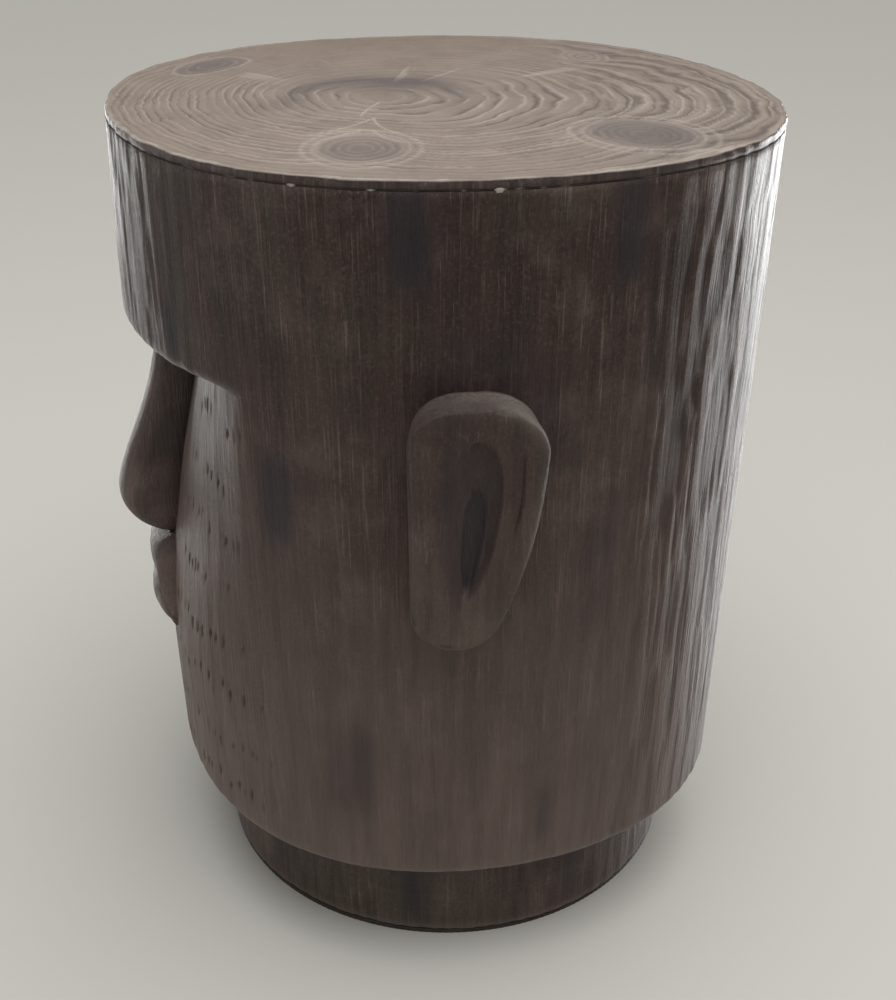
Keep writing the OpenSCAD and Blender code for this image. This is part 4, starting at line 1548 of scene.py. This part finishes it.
@dataclass
class Plinth:
    """The narrower ring that the head stands on, with its keying tongue."""

    form: HeadForm
    grain: BarkGrain
    finish: Finish
    wall: float = 12.0 * MM
    tongue: float = 5.0 * MM
    tongue_height: float = 6.0 * MM
    edge: float = 2.5 * MM
    around: int = 512
    smudges: tuple[Smudge, ...] = (
        Smudge(45, 0.0, 0.07, 0.007, 0.7),
        Smudge(82, 0.0, 0.08, 0.007, 0.9),
        Smudge(121, 0.0, 0.08, 0.006, 0.8),
        Smudge(165, 0.0, 0.06, 0.008, 0.6),
        Smudge(231, 0.0, 0.07, 0.008, 0.8),
        Smudge(305, 0.0, 0.06, 0.007, 0.8),
    )

    def build(self) -> bpy.types.Object:
        """Builds the ring from its foot up the outside, over the tongue and down the inside.

        Returns:
            The plinth.
        """
        low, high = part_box("plinth")
        foot, radius = low.z, high.x
        top = self.form.jaw
        angle = np.linspace(0.0, TAU, self.around, endpoint=False)
        turn = np.linspace(0.0, math.pi / 2.0, 5)
        low = foot + self.edge * (1.0 - np.cos(turn))
        height = np.concatenate([low, np.linspace(foot + self.edge, top, 60)[1:]])
        cut = np.concatenate([self.edge * (1.0 - np.sin(turn)), np.zeros(59)])
        height, cut = height[:, None], cut[:, None]
        depth, dark = self.grain.furrows(angle + 1.3, height)
        level = layered_noise(angle / TAU, height / 0.45, (10, 60), 310, 2)
        swell = layered_noise(angle / TAU, height / 0.3, (9, 4), 300)
        outer = radius - 0.1 * MM - cut - 0.8 * depth - 1.4 * MM * swell
        outer = outer - 0.35 * MM * level
        middle = radius - self.wall / 2.0
        inner = radius - self.wall
        corners = [
            (middle + self.tongue / 2.0, top),
            (middle + self.tongue / 2.0, top + self.tongue_height),
            (middle - self.tongue / 2.0, top + self.tongue_height),
            (middle - self.tongue / 2.0, top),
            (inner, top),
            (inner, (top + foot) / 2.0),
            (inner, foot),
        ]
        rest_radius = np.array([r for r, _ in corners])[:, None] * np.ones_like(angle)
        rest_height = np.array([z for _, z in corners])[:, None] * np.ones_like(angle)
        rings = np.concatenate(
            [
                polar_points(outer, angle, np.broadcast_to(height, outer.shape)),
                polar_points(rest_radius, angle, rest_height),
            ]
        )
        stain = np.clip(sum(s.at(angle, height, radius) for s in self.smudges), 0.0, 1.0)
        foot_wear = bell(height, foot, 4.0 * MM) * 0.5 * np.ones_like(angle)
        blank = np.zeros_like(rest_radius)
        marks = {
            "groove": np.concatenate([dark, blank]),
            "smudge": np.concatenate([stain, blank]),
            "wear_and_highlight": np.concatenate([foot_wear, blank]),
        }
        piece = grid_object("plinth_ring", rings, Ends.JOINED, marks)
        return place(piece, self.finish, "plinth")


@dataclass
class FootRing:
    """The rubber ring underfoot, with rounded edges and a row of moulded grip ribs on its outer side."""

    finish: Finish
    edge: float = 0.6 * MM
    ribs: int = 240
    around: int = 960

    def build(self) -> bpy.types.Object:
        """Builds the ring as a rounded box section carried round the axis.

        Returns:
            The foot ring.
        """
        low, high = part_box("foot_ring")
        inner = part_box("plinth")[1].x - 12.0 * MM + 1.5 * MM
        outer = high.x - 0.05 * MM
        angle = np.linspace(0.0, TAU, self.around, endpoint=False)
        turn = np.linspace(0.0, math.pi / 2.0, 4)
        e, base, top = self.edge, low.z, high.z
        corners = [
            (outer - e, base + e, -0.5),
            (outer - e, top - e, 0.0),
            (inner + e, top - e, 0.5),
            (inner + e, base + e, 1.0),
        ]
        section = np.array(
            [
                (r + e * math.cos(t + q * math.pi), z + e * math.sin(t + q * math.pi))
                for r, z, q in corners
                for t in turn
            ]
        )
        radius = section[:, :1] * np.ones_like(angle)
        height = section[:, 1:] * np.ones_like(angle)
        rib = 0.25 * MM * (0.5 - 0.5 * np.cos(angle * self.ribs))
        radius = radius - rib * ease(section[:, :1], outer - 2.0 * e, outer)
        piece = grid_object("rubber_foot_ring", polar_points(radius, angle, height), Ends.JOINED)
        return place(piece, self.finish, "foot_ring")


@dataclass
class Scrims:
    """The glass-fibre scrims inside, which keep their CAD shapes."""

    finish: Finish
    nodes: tuple[str, ...] = ("head_mesh", "slab_mesh", "plinth_mesh")

    def build(self) -> None:
        """Gives each scrim its finish."""
        for name in self.nodes:
            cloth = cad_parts[name]
            cloth.data.materials.clear()
            cloth.data.materials.append(self.finish.material())
            LOG.info("%s keeps its CAD shape", name)


# ---------------------------------------------------------------------------------------------------------
# Studio
# ---------------------------------------------------------------------------------------------------------


@dataclass(frozen=True)
class SoftSun:
    """Very soft far-off light: where it comes from, its strength, and how wide it looks, in degrees."""

    name: str
    comes_from: tuple[float, float, float]
    strength: float
    width: float
    colour: Colour = (1.0, 1.0, 1.0)

    def build(self) -> None:
        """Adds the light."""
        lamp = bpy.data.lights.new(self.name, "SUN")
        lamp.energy = self.strength
        lamp.angle = math.radians(self.width)
        lamp.color = self.colour
        held = bpy.data.objects.new(self.name, lamp)
        held.rotation_mode = "QUATERNION"
        held.rotation_quaternion = Vector(self.comes_from).to_track_quat("Z", "Y")
        bpy.context.scene.collection.objects.link(held)


@dataclass(frozen=True)
class SoftBox:
    """Large soft panel.

    It holds where it stands, what it points at, its width and height, and its power in watts. It may light
    chosen pieces only, and then only they throw shadows in its light, so it neither lights the floor nor is
    blocked by it. A panel with sheen_only set shows in the paint's sheen and adds nothing to its matt colour.
    """

    name: str
    place: tuple[float, float, float]
    aim: tuple[float, float, float]
    width: float
    height: float
    power: float
    sheen_only: bool = False

    def build(self, lit: bpy.types.Collection | None) -> None:
        """Adds the panel.

        Args:
            lit: The pieces that the panel lights, or None for everything.
        """
        lamp = bpy.data.lights.new(self.name, "AREA")
        lamp.shape = "RECTANGLE"
        lamp.size = self.width
        lamp.size_y = self.height
        lamp.energy = self.power
        held = bpy.data.objects.new(self.name, lamp)
        held.location = self.place
        held.rotation_mode = "QUATERNION"
        held.rotation_quaternion = (Vector(self.aim) - Vector(self.place)).to_track_quat("-Z", "Y")
        bpy.context.scene.collection.objects.link(held)
        if lit is not None:
            held.light_linking.receiver_collection = lit
            held.light_linking.blocker_collection = lit
            held.visible_diffuse = not self.sheen_only


@dataclass
class Studio:
    """Pale floor, soft light from both sides and above, and the camera at the figure's left."""

    sky: Colour = (1.0, 0.99, 0.95)
    sky_strength: float = 0.26
    camera_out: float = 0.7110
    camera_up: float = 0.5940
    camera_tilt: float = math.radians(28.34)
    focal: float = 48.6
    shift: float = 0.002
    floor_half: float = 12.0
    panels: tuple[SoftBox, ...] = (
        SoftBox("right_window", (-1.00, 1.00, -0.12), (0.0, 0.15, 0.20), 1.1, 0.9, 64.0, True),
        SoftBox("left_window", (-1.20, -0.85, -0.05), (0.0, -0.15, 0.20), 0.7, 0.8, 17.0, True),
        SoftBox("left_fill", (-0.10, -1.60, 0.60), (0.0, -0.15, 0.20), 1.0, 0.8, 4.0),
    )
    ceiling: SoftBox = SoftBox("ceiling", (0.55, 0.05, 2.1), (0.2, 0.0, 0.0), 1.8, 1.8, 21.0)
    sun: SoftSun = SoftSun("floor_light", (-0.05, 0.25, 1.0), 1.35, 80.0, (1.0, 0.99, 0.97))

    def build(self) -> None:
        """Adds the floor, the sky, the lights and the camera."""
        pieces = bpy.data.collections.new("lit_pieces")
        for piece in [held for held in bpy.data.objects if held.type == "MESH"]:
            pieces.objects.link(piece)
        self.build_floor()
        world = bpy.data.worlds.new("studio_sky")
        world.use_nodes = True
        sky = world.node_tree.nodes["Background"]
        sky.inputs["Color"].default_value = (*self.sky, 1.0)
        sky.inputs["Strength"].default_value = self.sky_strength
        bpy.context.scene.world = world
        for panel in self.panels:
            panel.build(pieces)
        self.ceiling.build(None)
        self.sun.build()
        self.build_camera()
        bpy.context.scene.view_settings.view_transform = "Standard"

    def build_floor(self) -> None:
        """Adds the floor: one large square, a hair below the foot."""
        half, level = self.floor_half, -0.1 * MM
        mesh = bpy.data.meshes.new("floor")
        corners = [(-half, -half, level), (half, -half, level), (half, half, level), (-half, half, level)]
        mesh.from_pydata(corners, [], [(0, 1, 2, 3)])
        mesh.materials.append(StudioFloor().material())
        floor = bpy.data.objects.new("floor", mesh)
        bpy.context.scene.collection.objects.link(floor)

    def build_camera(self) -> None:
        """Adds the camera, level across and tilted down."""
        lens = bpy.data.cameras.new("camera")
        lens.lens = self.focal
        lens.sensor_width = SENSOR_WIDTH
        lens.shift_x = self.shift
        camera = bpy.data.objects.new("camera", lens)
        camera.location = (self.camera_out, 0.0, self.camera_up)
        camera.rotation_mode = "QUATERNION"
        aim = Vector((-math.cos(self.camera_tilt), 0.0, -math.sin(self.camera_tilt)))
        camera.rotation_quaternion = aim.to_track_quat("-Z", "Y")
        bpy.context.scene.collection.objects.link(camera)
        bpy.context.scene.camera = camera


def main() -> None:
    """Builds every piece in order, then the studio."""
    logging.basicConfig(level=logging.INFO, format="%(name)s: %(message)s")
    form, grain = HeadForm(), BarkGrain()
    bark = BarkPaint()
    HeadShell(form, grain, bark).build()
    Nose(form, bark).build()
    Mouth(form, bark).build()
    Ear(form, bark, 1).build()
    Ear(form, bark, -1).build()
    TopDisc(form, grain, TopGrain()).build()
    RimSeam(form, grain, SeamFiller()).build()
    Plinth(form, grain, PlinthPaint()).build()
    FootRing(FootRubberAndShadow()).build()
    Scrims(ScrimCloth()).build()
    Studio().build()
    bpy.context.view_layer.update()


if __name__ == "__main__":
    main()
